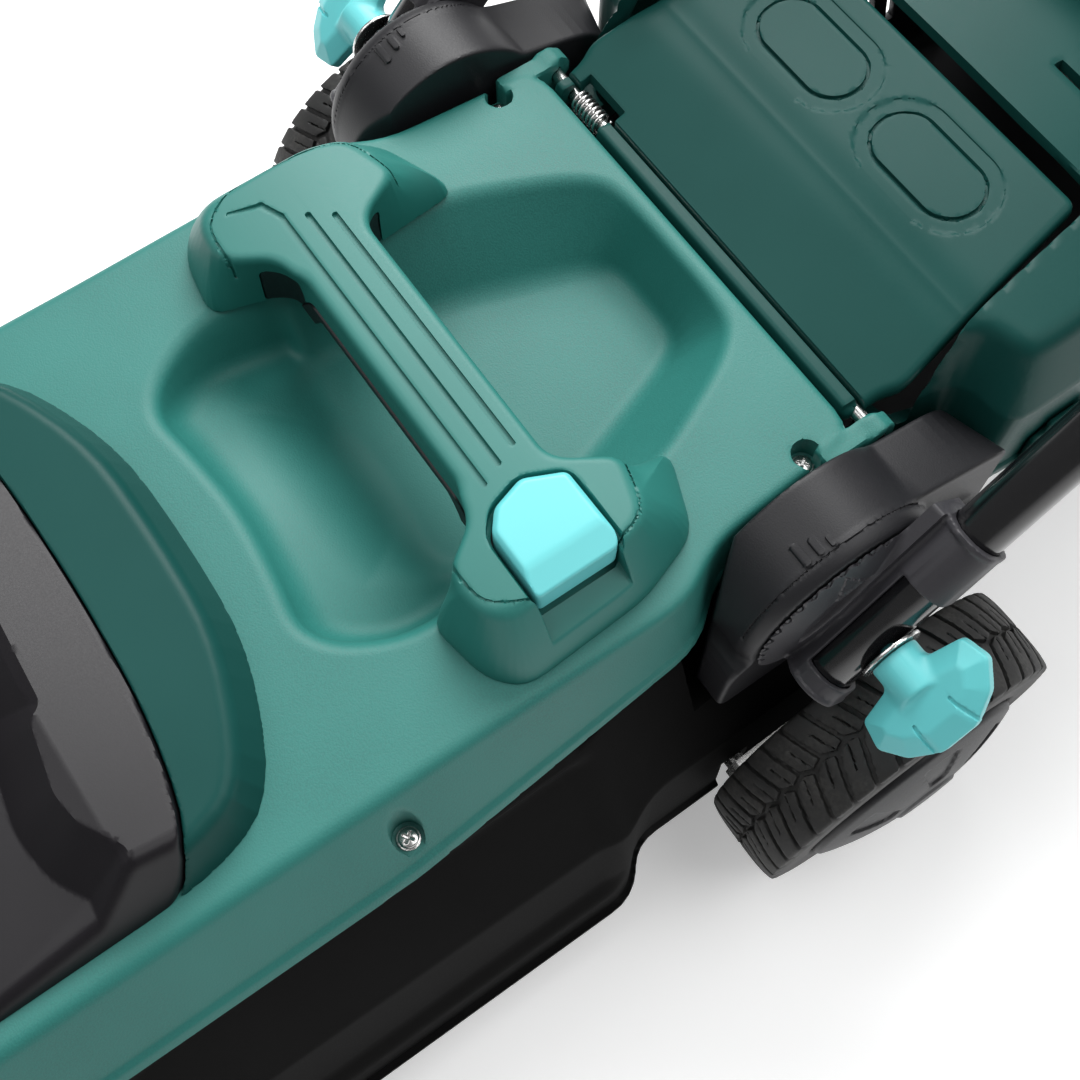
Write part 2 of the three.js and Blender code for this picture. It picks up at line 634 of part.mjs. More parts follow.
function boxBasket() {
  const top = mirrored([[110, 140], [115, 184], [141, 186], [143, 200], [143, 480], [108, 510]]);
  const base = mirrored([[98, 142], [104, 184], [118, 196], [122, 260], [122, 462], [92, 490]]);
  const outer = loft([[base, 60], [top, boxSplit]], 10);
  const hollow = loft([[grown(base, -wall), 60 + wall], [grown(top, -wall), boxSplit + 1]], 8);
  const mouth = box(-88, 88, 130, 165, 76, boxSplit + 5);
  return cut(outer, hollow, mouth);
}
add("grass_box_basket", boxBasket(), black);

function boxHandle() {
  const arch = [[-70, 263], [-70, 284], [-62, 292], [62, 292], [70, 284], [70, 263], [58, 263], [52, 281],
    [-52, 281], [-58, 263]];
  const g = extruded(arch, 24, 3);
  g.rotateX(Math.PI / 2).translate(0, 362, 0);
  return solid(g).translate([0, 0, 0.2]);
}
add("grass_box_handle", boxHandle(), black);

for (const [side, word] of [[1, "left"], [-1, "right"]])
  add(`grass_box_clip_${word}`, sided(box(145.4, 150, 205, 245, 158, 196), side), green);
add("fill_indicator", box(-30, 30, 400, 440, boxTop + gap, boxTop + 3), turquoise);

// ---------------------------------------------------------------- the machine's own frame
const extent = new THREE.Box3().setFromObject(mower);
const middle = extent.getCenter(new THREE.Vector3());
mower.position.set(-middle.x, -middle.y, -extent.min.z);

export default mower;
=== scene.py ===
"""Looks of the push lawn mower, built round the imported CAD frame.

Moulded pieces are signed distance fields in millimetres, in the deck's own axes: x across the
mower, y = 0 on the carry grip (front is -y), z = 0 on the ground. mould() turns a field into a
mesh and puts it where the frame says."""
import math

import bpy
import numpy as np
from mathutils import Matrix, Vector


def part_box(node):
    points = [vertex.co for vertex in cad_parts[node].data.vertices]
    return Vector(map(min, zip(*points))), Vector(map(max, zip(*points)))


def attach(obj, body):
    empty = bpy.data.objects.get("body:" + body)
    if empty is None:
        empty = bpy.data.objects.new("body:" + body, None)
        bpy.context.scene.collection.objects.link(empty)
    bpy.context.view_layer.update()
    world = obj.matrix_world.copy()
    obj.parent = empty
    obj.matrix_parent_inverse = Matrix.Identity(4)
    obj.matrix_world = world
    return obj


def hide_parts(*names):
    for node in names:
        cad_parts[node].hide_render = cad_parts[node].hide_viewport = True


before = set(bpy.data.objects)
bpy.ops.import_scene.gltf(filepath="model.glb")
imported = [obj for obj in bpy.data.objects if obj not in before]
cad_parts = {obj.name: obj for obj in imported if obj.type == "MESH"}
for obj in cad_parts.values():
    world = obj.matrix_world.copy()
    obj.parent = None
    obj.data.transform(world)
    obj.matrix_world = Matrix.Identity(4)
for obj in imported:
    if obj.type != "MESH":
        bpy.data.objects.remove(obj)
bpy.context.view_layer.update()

MM = 0.001
INSERT_CENTRE = -3.0  # the carry handle's insert is centred here in the deck's own y
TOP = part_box("deck_upper_shell")[1][2] / MM  # height of the deck's top face
low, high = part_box("carry_handle_insert")
SHIFT = np.array([0.0, (low[1] + high[1]) / 2 / MM - INSERT_CENTRE, 0.0])

PIVOT = (92.0, TOP - 27.0)  # y, z of the handle angle pivot
SLOPE = math.radians(45.0)
TUBE_X = 175.3
UPPER_X = 152.3
FOLD_AT = 395.0
HANDLE_END = 985.0
BAIL_AT = 880.0


# ---------------------------------------------------------------- distance fields
def smax(a, b, k):
    h = np.clip(0.5 + 0.5 * (a - b) / k, 0, 1)
    return b + (a - b) * h + k * h * (1 - h)


def smin(a, b, k):
    return -smax(-a, -b, k)


def mix(a, b, t):
    return a + (b - a) * t


def ramp(value, start, end):
    t = np.clip((value - start) / (end - start), 0, 1)
    return t * t * (3 - 2 * t)


def rounded(points, radius, steps=5):
    """Corner points of an outline replaced by quadratic arcs."""
    out = []
    n = len(points)
    for i, here in enumerate(points):
        here = np.array(here, float)
        before = np.array(points[i - 1], float) - here
        after = np.array(points[(i + 1) % n], float) - here
        reach_a = min(radius, np.linalg.norm(before) * 0.45) / np.linalg.norm(before)
        reach_b = min(radius, np.linalg.norm(after) * 0.45) / np.linalg.norm(after)
        a, b = here + before * reach_a, here + after * reach_b
        for t in np.linspace(0, 1, steps):
            out.append(tuple((1 - t) ** 2 * a + 2 * t * (1 - t) * here + t * t * b))
    return out


def mirrored(half):
    return list(half) + [(-x, y) for x, y in reversed(half) if x > 0]


def outline(u, v, points):
    """Signed distance to a closed outline in the u, v plane."""
    pts = np.array(points, float)
    shape = np.broadcast(u, v).shape
    nearest = np.full(shape, 1e12, np.float32)
    inside = np.zeros(shape, bool)
    for (ax, ay), (bx, by) in zip(pts, np.roll(pts, -1, axis=0)):
        ex, ey = bx - ax, by - ay
        wx, wy = u - ax, v - ay
        t = np.clip((wx * ex + wy * ey) / (ex * ex + ey * ey), 0, 1)
        nearest = np.minimum(nearest, (wx - ex * t) ** 2 + (wy - ey * t) ** 2)
        if ey != 0:
            inside ^= ((ay > v) != (by > v)) & (wx < ex * wy / ey)
    d = np.sqrt(nearest)
    return np.where(inside, -d, d)


def between(w, low_end, high_end):
    return np.abs(w - (low_end + high_end) / 2) - (high_end - low_end) / 2


def block(x, y, z, xs, ys, zs, k=1.5):
    return smax(smax(between(x, *xs), between(y, *ys), k), between(z, *zs), k)


def disc(u, v, w, centre, radius, span, k=1.0):
    """A round pin about the w axis."""
    return smax(np.hypot(u - centre[0], v - centre[1]) - radius, between(w, *span), k)


def segment(u, v, a, b, width):
    """Distance to a straight groove or rib of a given half width in the u, v plane."""
    ex, ey = b[0] - a[0], b[1] - a[1]
    wx, wy = u - a[0], v - a[1]
    t = np.clip((wx * ex + wy * ey) / (ex * ex + ey * ey), 0, 1)
    return np.hypot(wx - ex * t, wy - ey * t) - width


# ---------------------------------------------------------------- meshes from fields
def slope_at(field, points):
    """Unit direction in which the field grows, at each point."""
    e = 0.05
    slope = np.empty_like(points)
    for axis in range(3):
        ahead, behind = points.copy(), points.copy()
        ahead[:, axis] += e
        behind[:, axis] -= e
        slope[:, axis] = field(*ahead.T) - field(*behind.T)
    return slope / np.maximum(np.linalg.norm(slope, axis=1), 1e-6)[:, None]


def crossings(field, value, axes, step, axis):
    """Grid edges along one axis that the surface crosses: their lower corner, point and slope."""
    first, second = [slice(None)] * 3, [slice(None)] * 3
    first[axis], second[axis] = slice(0, -1), slice(1, None)
    va, vb = value[tuple(first)], value[tuple(second)]
    at = np.argwhere((va < 0) != (vb < 0))
    low_value, high_value = va[tuple(at.T)], vb[tuple(at.T)]
    point = np.stack([axes[k][at[:, k]] for k in range(3)], 1).astype(np.float64)
    start = point[:, axis].copy()
    low_t, high_t = np.zeros(len(at)), np.ones(len(at))
    low_v, high_v = low_value.astype(np.float64), high_value.astype(np.float64)
    for _ in range(3):
        t = low_t + (high_t - low_t) * low_v / (low_v - high_v)
        point[:, axis] = start + t * step
        here = field(*point.T)
        below = (here < 0) == (low_v < 0)
        low_t, low_v = np.where(below, t, low_t), np.where(below, here, low_v)
        high_t, high_v = np.where(below, high_t, t), np.where(below, high_v, here)
        high_v = np.where(high_v == low_v, low_v + 1e-9, high_v)
    return at, low_value < 0, point, slope_at(field, point)


def contour(field, low_corner, high_corner, step):
    """Quads of the field's zero surface, with vertices drawn into its edges and corners."""
    axes = [np.arange(a - step, b + step * 1.01, step) for a, b in zip(low_corner, high_corner)]
    shape = [len(a) for a in axes]
    value = np.empty(shape, np.float32)
    slab = max(1, 400000 // (shape[1] * shape[2]))
    for i in range(0, shape[0], slab):
        gx, gy, gz = np.meshgrid(axes[0][i : i + slab], axes[1], axes[2], indexing="ij", sparse=True)
        value[i : i + slab] = field(gx, gy, gz)
    value[value == 0] = 1e-7
    cells = [n - 1 for n in shape]
    owner, points, slopes, quads = [], [], [], []
    for axis in range(3):
        at, inside, point, slope = crossings(field, value, axes, step, axis)
        o1, o2 = (axis + 1) % 3, (axis + 2) % 3
        keep = (at[:, o1] > 0) & (at[:, o2] > 0) & (at[:, o1] < shape[o1] - 1) & (at[:, o2] < shape[o2] - 1)
        at, inside, point, slope = at[keep], inside[keep], point[keep], slope[keep]
        ring = []
        for d1, d2 in ((0, 0), (-1, 0), (-1, -1), (0, -1)):
            cell = at.copy()
            cell[:, o1] += d1
            cell[:, o2] += d2
            ring.append(np.ravel_multi_index(tuple(cell.T), cells))
        for index in ring:
            owner.append(index)
            points.append(point)
            slopes.append(slope)
        quad = np.stack(ring, 1)
        quad[~inside] = quad[~inside][:, ::-1]
        quads.append(quad)
    owner, points, slopes = np.concatenate(owner), np.concatenate(points), np.concatenate(slopes)
    used, index = np.unique(owner, return_inverse=True)
    n = len(used)
    total = lambda weights: np.bincount(index, weights, n)
    count = total(np.ones(len(index)))
    mean = np.stack([total(points[:, k]) for k in range(3)], 1) / count[:, None]
    offset = ((points - mean[index]) * slopes).sum(1)
    matrix = np.empty((n, 3, 3))
    right = np.empty((n, 3))
    for i in range(3):
        right[:, i] = total(slopes[:, i] * offset)
        for j in range(i, 3):
            matrix[:, i, j] = matrix[:, j, i] = total(slopes[:, i] * slopes[:, j])
    matrix += np.eye(3) * 0.06
    move = np.linalg.solve(matrix, right[:, :, None])[:, :, 0]
    cell = np.stack(np.unravel_index(used, cells), 1)
    floor = np.stack([axes[k][cell[:, k]] for k in range(3)], 1)
    verts = np.clip(mean + move, floor - 0.1 * step, floor + 1.1 * step)
    return verts, np.searchsorted(used, np.concatenate(quads))


def make_mesh(name, verts, faces, material):
    mesh = bpy.data.meshes.new(name)
    mesh.vertices.add(len(verts))
    mesh.vertices.foreach_set("co", ((verts + SHIFT) * MM).astype(np.float32).ravel())
    mesh.loops.add(faces.size)
    mesh.loops.foreach_set("vertex_index", faces.astype(np.int32).ravel())
    mesh.polygons.add(len(faces))
    mesh.polygons.foreach_set("loop_start", np.arange(0, faces.size, faces.shape[1], dtype=np.int32))
    mesh.update(calc_edges=True)
    mesh.validate()
    return dressed(name, mesh, material)


def dressed(name, mesh, material):
    mesh.shade_smooth()
    mesh.materials.append(material)
    piece = bpy.data.objects.new(name, mesh)
    bpy.context.scene.collection.objects.link(piece)
    return piece


def thin(piece, ratio):
    """Fewer faces where the surface is flat."""
    modifier = piece.modifiers.new("thin", "DECIMATE")
    modifier.ratio = ratio
    modifier.use_collapse_triangulate = False
    graph = bpy.context.evaluated_depsgraph_get()
    mesh = bpy.data.meshes.new_from_object(piece.evaluated_get(graph))
    piece.modifiers.clear()
    old = piece.data
    piece.data = mesh
    bpy.data.meshes.remove(old)
    mesh.name = piece.name
    mesh.shade_smooth()


def flipped(name, piece):
    """The mirror image of a piece on the other side of the mower."""
    mesh = piece.data.copy()
    mesh.name = name
    co = np.empty(len(mesh.vertices) * 3, np.float32)
    mesh.vertices.foreach_get("co", co)
    co[0::3] *= -1
    mesh.vertices.foreach_set("co", co)
    mesh.flip_normals()
    other = bpy.data.objects.new(name, mesh)
    bpy.context.scene.collection.objects.link(other)
    return other


def place(piece, body, nodes):
    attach(piece, body)
    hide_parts(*nodes)


def mould(name, field, low_corner, high_corner, step, material, keep=1.0):
    verts, faces = contour(field, low_corner, high_corner, step)
    piece = make_mesh(name, verts, faces, material)
    if keep < 1:
        thin(piece, keep)
    piece.data.set_sharp_from_angle(angle=math.radians(38))
    return piece


def sweep(name, path, radius, sides, material):
    """A round bar along a path, closed at its ends; radius may change from point to point."""
    path = np.array(path, float)
    radius = np.broadcast_to(radius, len(path))
    tangent = np.gradient(path, axis=0)
    tangent /= np.linalg.norm(tangent, axis=1)[:, None]
    up = np.cross(tangent[0], [0.3, 0.5, 0.8])
    rings = []
    turn = np.linspace(0, 2 * np.pi, sides, endpoint=False)
    for p, t, r in zip(path, tangent, radius):
        up = up - t * (up @ t)
        up /= np.linalg.norm(up)
        side = np.cross(t, up)
        rings.append(p + r * (np.cos(turn)[:, None] * up + np.sin(turn)[:, None] * side))
    n = len(path)
    verts = np.concatenate([*rings, path[:1], path[-1:]])
    i = np.arange(sides)
    j = (i + 1) % sides
    faces = []
    for k in range(n - 1):
        faces += np.stack([k * sides + i, k * sides + j, (k + 1) * sides + j, (k + 1) * sides + i], 1).tolist()
    last = (n - 1) * sides
    faces += np.stack([np.full(sides, n * sides), j, i], 1).tolist()
    faces += np.stack([np.full(sides, n * sides + 1), last + i, last + j], 1).tolist()
    mesh = bpy.data.meshes.new(name)
    mesh.from_pydata(((verts + SHIFT) * MM).tolist(), [], faces)
    mesh.validate()
    return dressed(name, mesh, material)


def along(s, n=0.0):
    """y and z of a point s up the handle and n square to it."""
    return (
        PIVOT[0] + s * math.cos(SLOPE) - n * math.sin(SLOPE),
        PIVOT[1] + s * math.sin(SLOPE) + n * math.cos(SLOPE),
    )


def on_handle(field):
    """A field given in handle axes (x, s, n), read in the deck's axes."""

    def turned(x, y, z):
        s = (y - PIVOT[0]) * math.cos(SLOPE) + (z - PIVOT[1]) * math.sin(SLOPE)
        n = -(y - PIVOT[0]) * math.sin(SLOPE) + (z - PIVOT[1]) * math.cos(SLOPE)
        return field(x, s, n)

    return turned


def handle_box(xs, ss, ns):
    corners = [along(s, n) for s in ss for n in ns]
    ys = [c[0] for c in corners]
    zs = [c[1] for c in corners]
    return (xs[0], min(ys), min(zs)), (xs[1], max(ys), max(zs))


# ---------------------------------------------------------------- materials
def finish(name, color, roughness, metallic=0.0, grain=0.0, grain_size=0.9, dust=0.0, mottle=0.06, coat=0.0,
           shine=0.5):
    """A material with a fine moulded grain, slight colour drift and, where asked, dust."""
    material = bpy.data.materials.new(name)
    material.use_nodes = True
    nodes, links = material.node_tree.nodes, material.node_tree.links
    shader = nodes["Principled BSDF"]
    shader.inputs["Metallic"].default_value = metallic
    shader.inputs["Specular IOR Level"].default_value = shine
    shader.inputs["Coat Weight"].default_value = coat
    shader.inputs["Coat Roughness"].default_value = 0.12
    place_at = nodes.new("ShaderNodeTexCoord")

    def noise(size, detail):
        texture = nodes.new("ShaderNodeTexNoise")
        texture.inputs["Scale"].default_value = 1 / (size * MM)
        texture.inputs["Detail"].default_value = detail
        links.new(place_at.outputs["Object"], texture.inputs["Vector"])
        return texture.outputs["Fac"]

    def ranged(value, low_from, high_from, low_to, high_to):
        node = nodes.new("ShaderNodeMapRange")
        keys = ("From Min", "From Max", "To Min", "To Max")
        for key, number in zip(keys, (low_from, high_from, low_to, high_to)):
            node.inputs[key].default_value = number
        links.new(value, node.inputs["Value"])
        return node.outputs["Result"]

    def blended(factor, a, b):
        node = nodes.new("ShaderNodeMix")
        node.data_type = "RGBA"
        for key, value in (("A", a), ("B", b)):
            sockets = [s for s in node.inputs if s.name == key and s.type == "RGBA"]
            if isinstance(value, tuple):
                sockets[0].default_value = (*value, 1)
            else:
                links.new(value, sockets[0])
        links.new(factor, node.inputs["Factor"])
        return [s for s in node.outputs if s.type == "RGBA"][0]

    dark = tuple(c * (1 - mottle) for c in color)
    light = tuple(min(1, c * (1 + mottle) + 0.002) for c in color)
    speck = noise(grain_size, 2)
    drift = noise(70, 3)
    tint = blended(ranged(drift, 0.3, 0.7, 0, 1), dark, light)
    tint = blended(ranged(speck, 0.35, 0.65, 0, mottle * 6), tint, light)
    if dust > 0:
        patch = noise(22, 6)
        fine = noise(1.6, 3)
        both = nodes.new("ShaderNodeMath")
        both.operation = "MULTIPLY"
        links.new(ranged(patch, 0.42, 0.75, 0, dust), both.inputs[0])
        links.new(ranged(fine, 0.35, 0.7, 0.1, 1), both.inputs[1])
        tint = blended(both.outputs[0], tint, (0.30, 0.28, 0.25))
    links.new(tint, shader.inputs["Base Color"])
    links.new(ranged(speck, 0.2, 0.8, roughness - 0.05, roughness + 0.05), shader.inputs["Roughness"])
    if grain > 0:
        bump = nodes.new("ShaderNodeBump")
        bump.inputs["Strength"].default_value = grain
        bump.inputs["Distance"].default_value = 0.00012
        links.new(speck, bump.inputs["Height"])
        links.new(bump.outputs["Normal"], shader.inputs["Normal"])
    return material


GREEN = finish("deck green", (0.016, 0.155, 0.134), 0.54, grain=0.9, grain_size=0.75, mottle=0.14)
GREEN_SMOOTH = finish("handle green", (0.016, 0.162, 0.140), 0.50, grain=0.12, grain_size=0.6)
GREEN_DARK = finish("hood green", (0.007, 0.060, 0.053), 0.36, grain=0.06, grain_size=0.7, shine=0.12)
GREEN_GLOSS = finish("flap green", (0.007, 0.058, 0.051), 0.36, grain=0.05, grain_size=1.2, shine=0.12)
TURQUOISE = finish("control turquoise", (0.13, 0.58, 0.60), 0.40, grain=0.06, grain_size=0.5, mottle=0.03)
BLACK = finish("black plastic", (0.010, 0.010, 0.012), 0.46, grain=0.5, grain_size=0.7, mottle=0.15, shine=0.35)
# skirt black: the black plastic made darker and almost without specular, painted shade for the skirt's shadowed
# sides
BLACK_SKIRT_SHADE = finish("skirt black painted shade", (0.003, 0.003, 0.003), 0.62, grain=0.3, grain_size=0.9, mottle=0.1, shine=0.03)
BLACK_SMOOTH = finish("hood black", (0.008, 0.007, 0.009), 0.38, grain=0.10, grain_size=0.7, mottle=0.1, shine=0.25)
# bracket disc: a lighter copy of the black plastic with more specular, painted sheen on the holder disc
BLACK_PAINTED_SHEEN = finish("bracket disc painted sheen", (0.030, 0.029, 0.034), 0.48, grain=0.35, grain_size=0.7, mottle=0.1, shine=0.5)
TYRE = finish("tyre", (0.010, 0.010, 0.010), 0.62, grain=0.5, grain_size=1.4, dust=0.16, mottle=0.2)
TUBE = finish("tube black", (0.004, 0.004, 0.005), 0.16, grain=0.03, grain_size=2.0, coat=0.6)
STEEL = finish("zinc steel", (0.62, 0.62, 0.61), 0.24, metallic=1.0, grain=0.12, grain_size=0.6)
IRON = finish("bare iron", (0.30, 0.30, 0.31), 0.42, metallic=1.0, grain=0.3, grain_size=1.0)
COPPER = finish("winding", (0.55, 0.24, 0.12), 0.38, metallic=1.0, grain=0.6, grain_size=1.5)
FOAM = finish("foam", (0.018, 0.018, 0.020), 0.9, grain=1.0, grain_size=0.9)


# ---------------------------------------------------------------- deck
CREASE = mirrored([(100, -384), (126, -356), (128.5, -300), (128.5, -97), (131, 32), (118.5, 54), (112.5, 131)])
EDGE = mirrored([(110, -396), (143, -370), (150.5, -300), (150.5, -110), (137.5, 36), (119, 57), (112.5, 131)])
MOUTH = mirrored([(0, -88.5), (34, -92), (55, -96), (70, -86), (82, -62), (78, 58), (56, 106), (44, 120),
                  (30, 122.5)])
FLOOR = mirrored([(0, -30), (50, -34), (60, -20), (50, 40), (30, 98), (22, 111.5)])
SEATS = ((139, -103, 201), (108, 108, TOP - 12))
SEAT_RADIUS = 6.3
WALL = 4.5


def recess(x, y, z):
    """The hollow under the carry handle: scooped in front, boxy with steep walls behind."""
    depth = np.clip((TOP - z) / 35, -0.1, 1.1)
    mouth = outline(x, y, rounded(MOUTH, 18))
    floor = outline(x, y, rounded(FLOOR, 12))
    deep = smax(mix(mouth, floor, depth), TOP - 35 - z, 6)
    shelf = TOP - 13 - 0.22 * (y + 78) - 0.002 * x**2 - z
    scoop = smax(smax(mouth + 0.35 * (TOP - z), shelf, 9), y + 27, 6)
    return smin(deep, scoop, 7)


def upper_shell(x, y, z):
    drop = np.clip((TOP - z) / 40, -0.2, 1.2)
    side = mix(outline(x, y, rounded(CREASE, 14)), outline(x, y, rounded(EDGE, 14)), drop)
    lip = smax(side - 1.6, between(z, 190, 196.5), 1.2)
    body = smin(smax(side, z - TOP, 4.5), lip, 1.5)
    body = smax(body, -recess(x, y, z), 4)
    for px, py, floor in SEATS:
        hole = smax(np.hypot(np.abs(x) - px, y - py) - SEAT_RADIUS, floor - z, 0.8)
        body = smax(body, -hole, 1.2)
    lug = disc(y, z, np.abs(x), (140, 224), 8.2, (110, 117.3), 1.2)
    lug = smin(lug, block(np.abs(x), y, z, (108, 117.3), (112, 141), (214, 231.5), 2), 3)
    body = smin(body, lug, 1.5)
    body = smax(body, -(np.hypot(y - 140, z - 224) - 3.3), 0.3)
    body = np.maximum(body, -(body + WALL))
    body = np.maximum(body, 62 - np.hypot(x, y + 200))
    return np.maximum(body, 192 - z)


HOOD_FOOT = mirrored([(92, -380), (115, -350), (119, -290), (118, -168), (106, -136), (52, -114), (0, -112)])
COVER_REAR = mirrored([(150, -420), (136, -250), (121, -188), (108, -167), (60, -157.5), (0, -155.5)])
CREST = mirrored([(160, -90), (160, -187), (118, -187), (99, -184.5), (83, -194), (70, -196), (43, -191),
                  (38, -185), (0, -183)])
HOOD_RISE = 18.5


def hood_collar(x, y, z):
    """Green band: flat on top with a steep outer wall."""
    rise = z - TOP
    foot = outline(x, y, rounded(HOOD_FOOT, 26))
    body = smax(foot + 0.45 * rise, rise - HOOD_RISE, 5)
    body = smax(body, 0.3 - rise, 0.3)
    split = outline(x, y, rounded(COVER_REAR, 24)) - 0.4
    return smax(body, -split, 1.6)


def hood_cover(x, y, z):
    """Black cover: a strip that climbs to a crest, then falls away to a low, vented front."""
    rise = z - TOP
    foot = outline(x, y, rounded(HOOD_FOOT, 26))
    ahead = outline(x, y, rounded(CREST, 3))
    climb = HOOD_RISE + 0.3 * np.clip(-155 - y, 0, 34)
    fall = 0.85 * np.clip(ahead, 0, 20) + 0.12 * np.clip(ahead - 20, 0, 200)
    dome = 9 * np.exp(-((x / 62) ** 2) - ((y + 285) / 52) ** 2)
    roof = (rise - climb + fall - dome) * 0.78
    body = smax(foot + 0.45 * rise, roof, 4)
    body = smax(body, 0.3 - rise, 0.3)
    split = outline(x, y, rounded(COVER_REAR, 24)) + 0.3
    body = smax(body, split, 1.0)
    span = np.abs(x)
    for k in range(8):
        slot = smax(between(y, -346 + 12 * k, -341 + 12 * k), between(span, 20, 62), 2)
        body = smax(body, -smax(slot, -(roof + 2.2), 0.5), 0.8)
    return np.maximum(body, -(body + 3))


HEAD_TOP = [(56, -20), (68, -25), (80, -42), (100, -41), (107.5, -33), (108, 13), (103, 29), (78, 37), (66, 17)]
HEAD_BASE = [(70, -20), (77, -34), (82, -54), (112, -49), (124, -38), (121, 19), (110, 50), (76, 64), (72, 16)]
BUTTON = [(66.5, -1), (71, -15.5), (79, -22), (108, -22), (108, 13.5), (104, 15.5), (74, 15)]
INNER = 79.0  # the pillars are lined in black up to this far from the middle
CAP_EDGE = [(50, -30), (78, -40), (98, -39), (108, -22), (105, 21), (99, 31), (50, 46)]
GRIP = (-20.0, 14.0)


def handle_half(x, y, z):
    """The carry handle's pillars and grip as one block, folded about the middle."""
    ax = np.abs(x)
    rise = np.clip((z - TOP) / 33, 0, 1) ** 1.45
    pillar = mix(outline(ax, y, rounded(HEAD_BASE, 9)), outline(ax, y, rounded(HEAD_TOP, 7)), rise)
    beam = smax(between(y, *GRIP), ax - 90, 2)
    whole = smin(pillar, beam, 9)
    crown = z - (TOP + 35 - 0.0016 * (y + 3) ** 2)
    return smax(whole, crown, 4.0)


def lining(x, y, z):
    """The room in each pillar's inner side that the black insert fills."""
    span = np.abs(x)
    room = smax(span - INNER - 0.3 * (z - TOP), between(y, -31.3, 24.3), 2)
    return smax(smax(room, z - TOP - 24, 4), 60 - span, 1)


def handle_cover(x, y, z):
    body = handle_half(x, y, z)
    span = np.abs(x)
    arch = TOP + 17 - 24 * ramp(span, 50, 74)
    body = smax(body, arch - z, 1.2)
    body = smax(body, -lining(x, y, z), 0.3)
    body = smax(body, TOP + 0.3 - z, 0.4)
    pocket = smax(outline(x, y, rounded(BUTTON, 4)) - 2.4, TOP + 29 - z, 1.0)
    well = smax(outline(x, y, rounded(BUTTON, 3)) - 0.8, TOP + 14 - z, 0.6)
    mouth = smax(between(y, -22.8, 14.8), TOP + 17.5 - 0.45 * (x - 108.6) - z, 0.5)
    mouth = smax(mouth, 104 - x, 1)
    for hollow in (pocket, well, mouth):
        body = smax(body, -hollow, 0.9)
    for k, y0 in enumerate((-12.5, -3.5, 5.5)):
        groove = segment(x, y, (-84 + 6 * k, y0), (60 - 4 * k, y0), 1.25)
        body = smax(body, -smax(groove, TOP + 33.2 - z, 0.3), 0.5)
    curl = segment(x, y, (-84, -12.5), (-93, -16.5), 1.25)
    curl = smin(curl, segment(x, y, (-93, -16.5), (-97, -29), 1.0), 1)
    body = smax(body, -smax(curl, TOP + 33.2 - z, 0.3), 0.5)
    line = np.abs(outline(span, y, rounded(CAP_EDGE, 8)))
    seam = smax(line - 0.45, TOP + 20 - z, 0.2)
    seam = smax(seam, -(body + 0.9), 0.2)
    return smax(body, -smax(seam, 78 - span - 0.3 * (y > 14), 0.2), 0.3)


def handle_insert(x, y, z):
    span = np.abs(x)
    arch_top = TOP + 16.7 - 24 * ramp(span, 50, 74)
    arch_low = TOP + 10.5 - 34 * ramp(span, 44, 70)
    body = smax(between(y, GRIP[0] - 0.6, GRIP[1] - 1.0), z - arch_top, 1)
    body = smax(body, arch_low - z, 3)
    body = smax(body, span - 72.5, 0.5)
    wall = smax(smax(lining(x, y, z) + 0.4, handle_half(x, y, z) + 0.3, 1), arch_top - z, 2)
    return smax(smin(body, wall, 0.5), TOP + 0.8 - z, 0.4)


def button(x, y, z):
    """A pentagon cap: flat top, small bevel all round and a sloped facet at its outer end."""
    plan = outline(x, y, rounded(BUTTON, 2.5))
    top = z - (TOP + 38.6)
    body = smax(plan, top, 0.8)
    body = smax(body, (plan + top + 1.9) * 0.7, 0.6)
    body = smax(body, (0.42 * (x - 97.5) + top) * 0.92, 0.8)
    return smax(body, TOP + 21.4 - z, 0.8)


def screw(px, py, floor):
    def field(x, y, z):
        r = np.hypot(x - px, y - py)
        rise = z - floor
        head = smax(r - 3.9, rise - 2.9 + 0.045 * r**2, 0.5)
        head = smin(head, smax(r - 4.7, rise - 0.9, 0.3), 0.4)
        head = smax(head, 0.3 - rise, 0.2)
        u = (x - px) * 0.83 + (y - py) * 0.56
        v = -(x - px) * 0.56 + (y - py) * 0.83
        cross = np.minimum(
            np.maximum(np.abs(u) - 0.55, np.abs(v) - 2.5),
            np.maximum(np.abs(v) - 0.55, np.abs(u) - 2.5),
        )
        return smax(head, -smax(cross, 0.9 + 0.3 * r - rise, 0.3), 0.3)

    return field


def lower_shell(x, y, z):
    ax = np.abs(x)
    low_ring = mirrored([(110, -396), (158, -380), (161, -262), (187, -244), (187.5, -24), (168, -8), (167, 131)])
    mid_ring = mirrored([(110, -395), (152, -378), (158, -262), (175, -244), (177, -24), (166, -2), (165, 131)])
    top_ring = mirrored([(108, -393), (139, -368), (146, -262), (147, -244), (145, -24), (135, 34), (116, 131)])
    low_d = outline(x, y, rounded(low_ring, 12))
    mid_d = outline(x, y, rounded(mid_ring, 12))
    top_d = outline(x, y, rounded(top_ring, 12))
    side = np.where(z < 120, mix(low_d, mid_d, (z - 38) / 82), mix(mid_d, top_d, (z - 120) / 71))
    panel = ramp(y, -240, -225) * ramp(y, -20, -38) * ramp(z, 60, 74) * ramp(z, 186, 176)
    side = side + 4.0 * panel
    flange = smax(low_d - 2.2, between(z, 38, 44), 1.5)
    body = smin(smax(side, between(z, 38, 191.4), 2), flange, 2)
    body = smax(body, -smax(np.hypot(x, y + 200) - 168, z - 109, 10), 2)
    body = smax(body, -block(x, y, z, (-72, 72), (-60, 150), (82, 150), 6), 2)
    body = smax(body, -block(ax, y, z, (118.5, 240), (28, 150), (151.5, 240), 1), 1)
    for yy, top in ((51.0, 72.5), (-378.0, 55.5)):
        body = smax(body, -block(x, y, z, (-230, 230), (yy - 8, yy + 8), (0, top), 2), 1)
        body = smax(body, -block(x, y, z, (-113, -103), (yy - 8, yy + 52), (top - 12, 163), 1), 1)
    cavity = smax(top_d + 6, 113 - z, 3)
    cavity = smax(cavity, y - 12, 3)
    return smax(body, -cavity, 2)


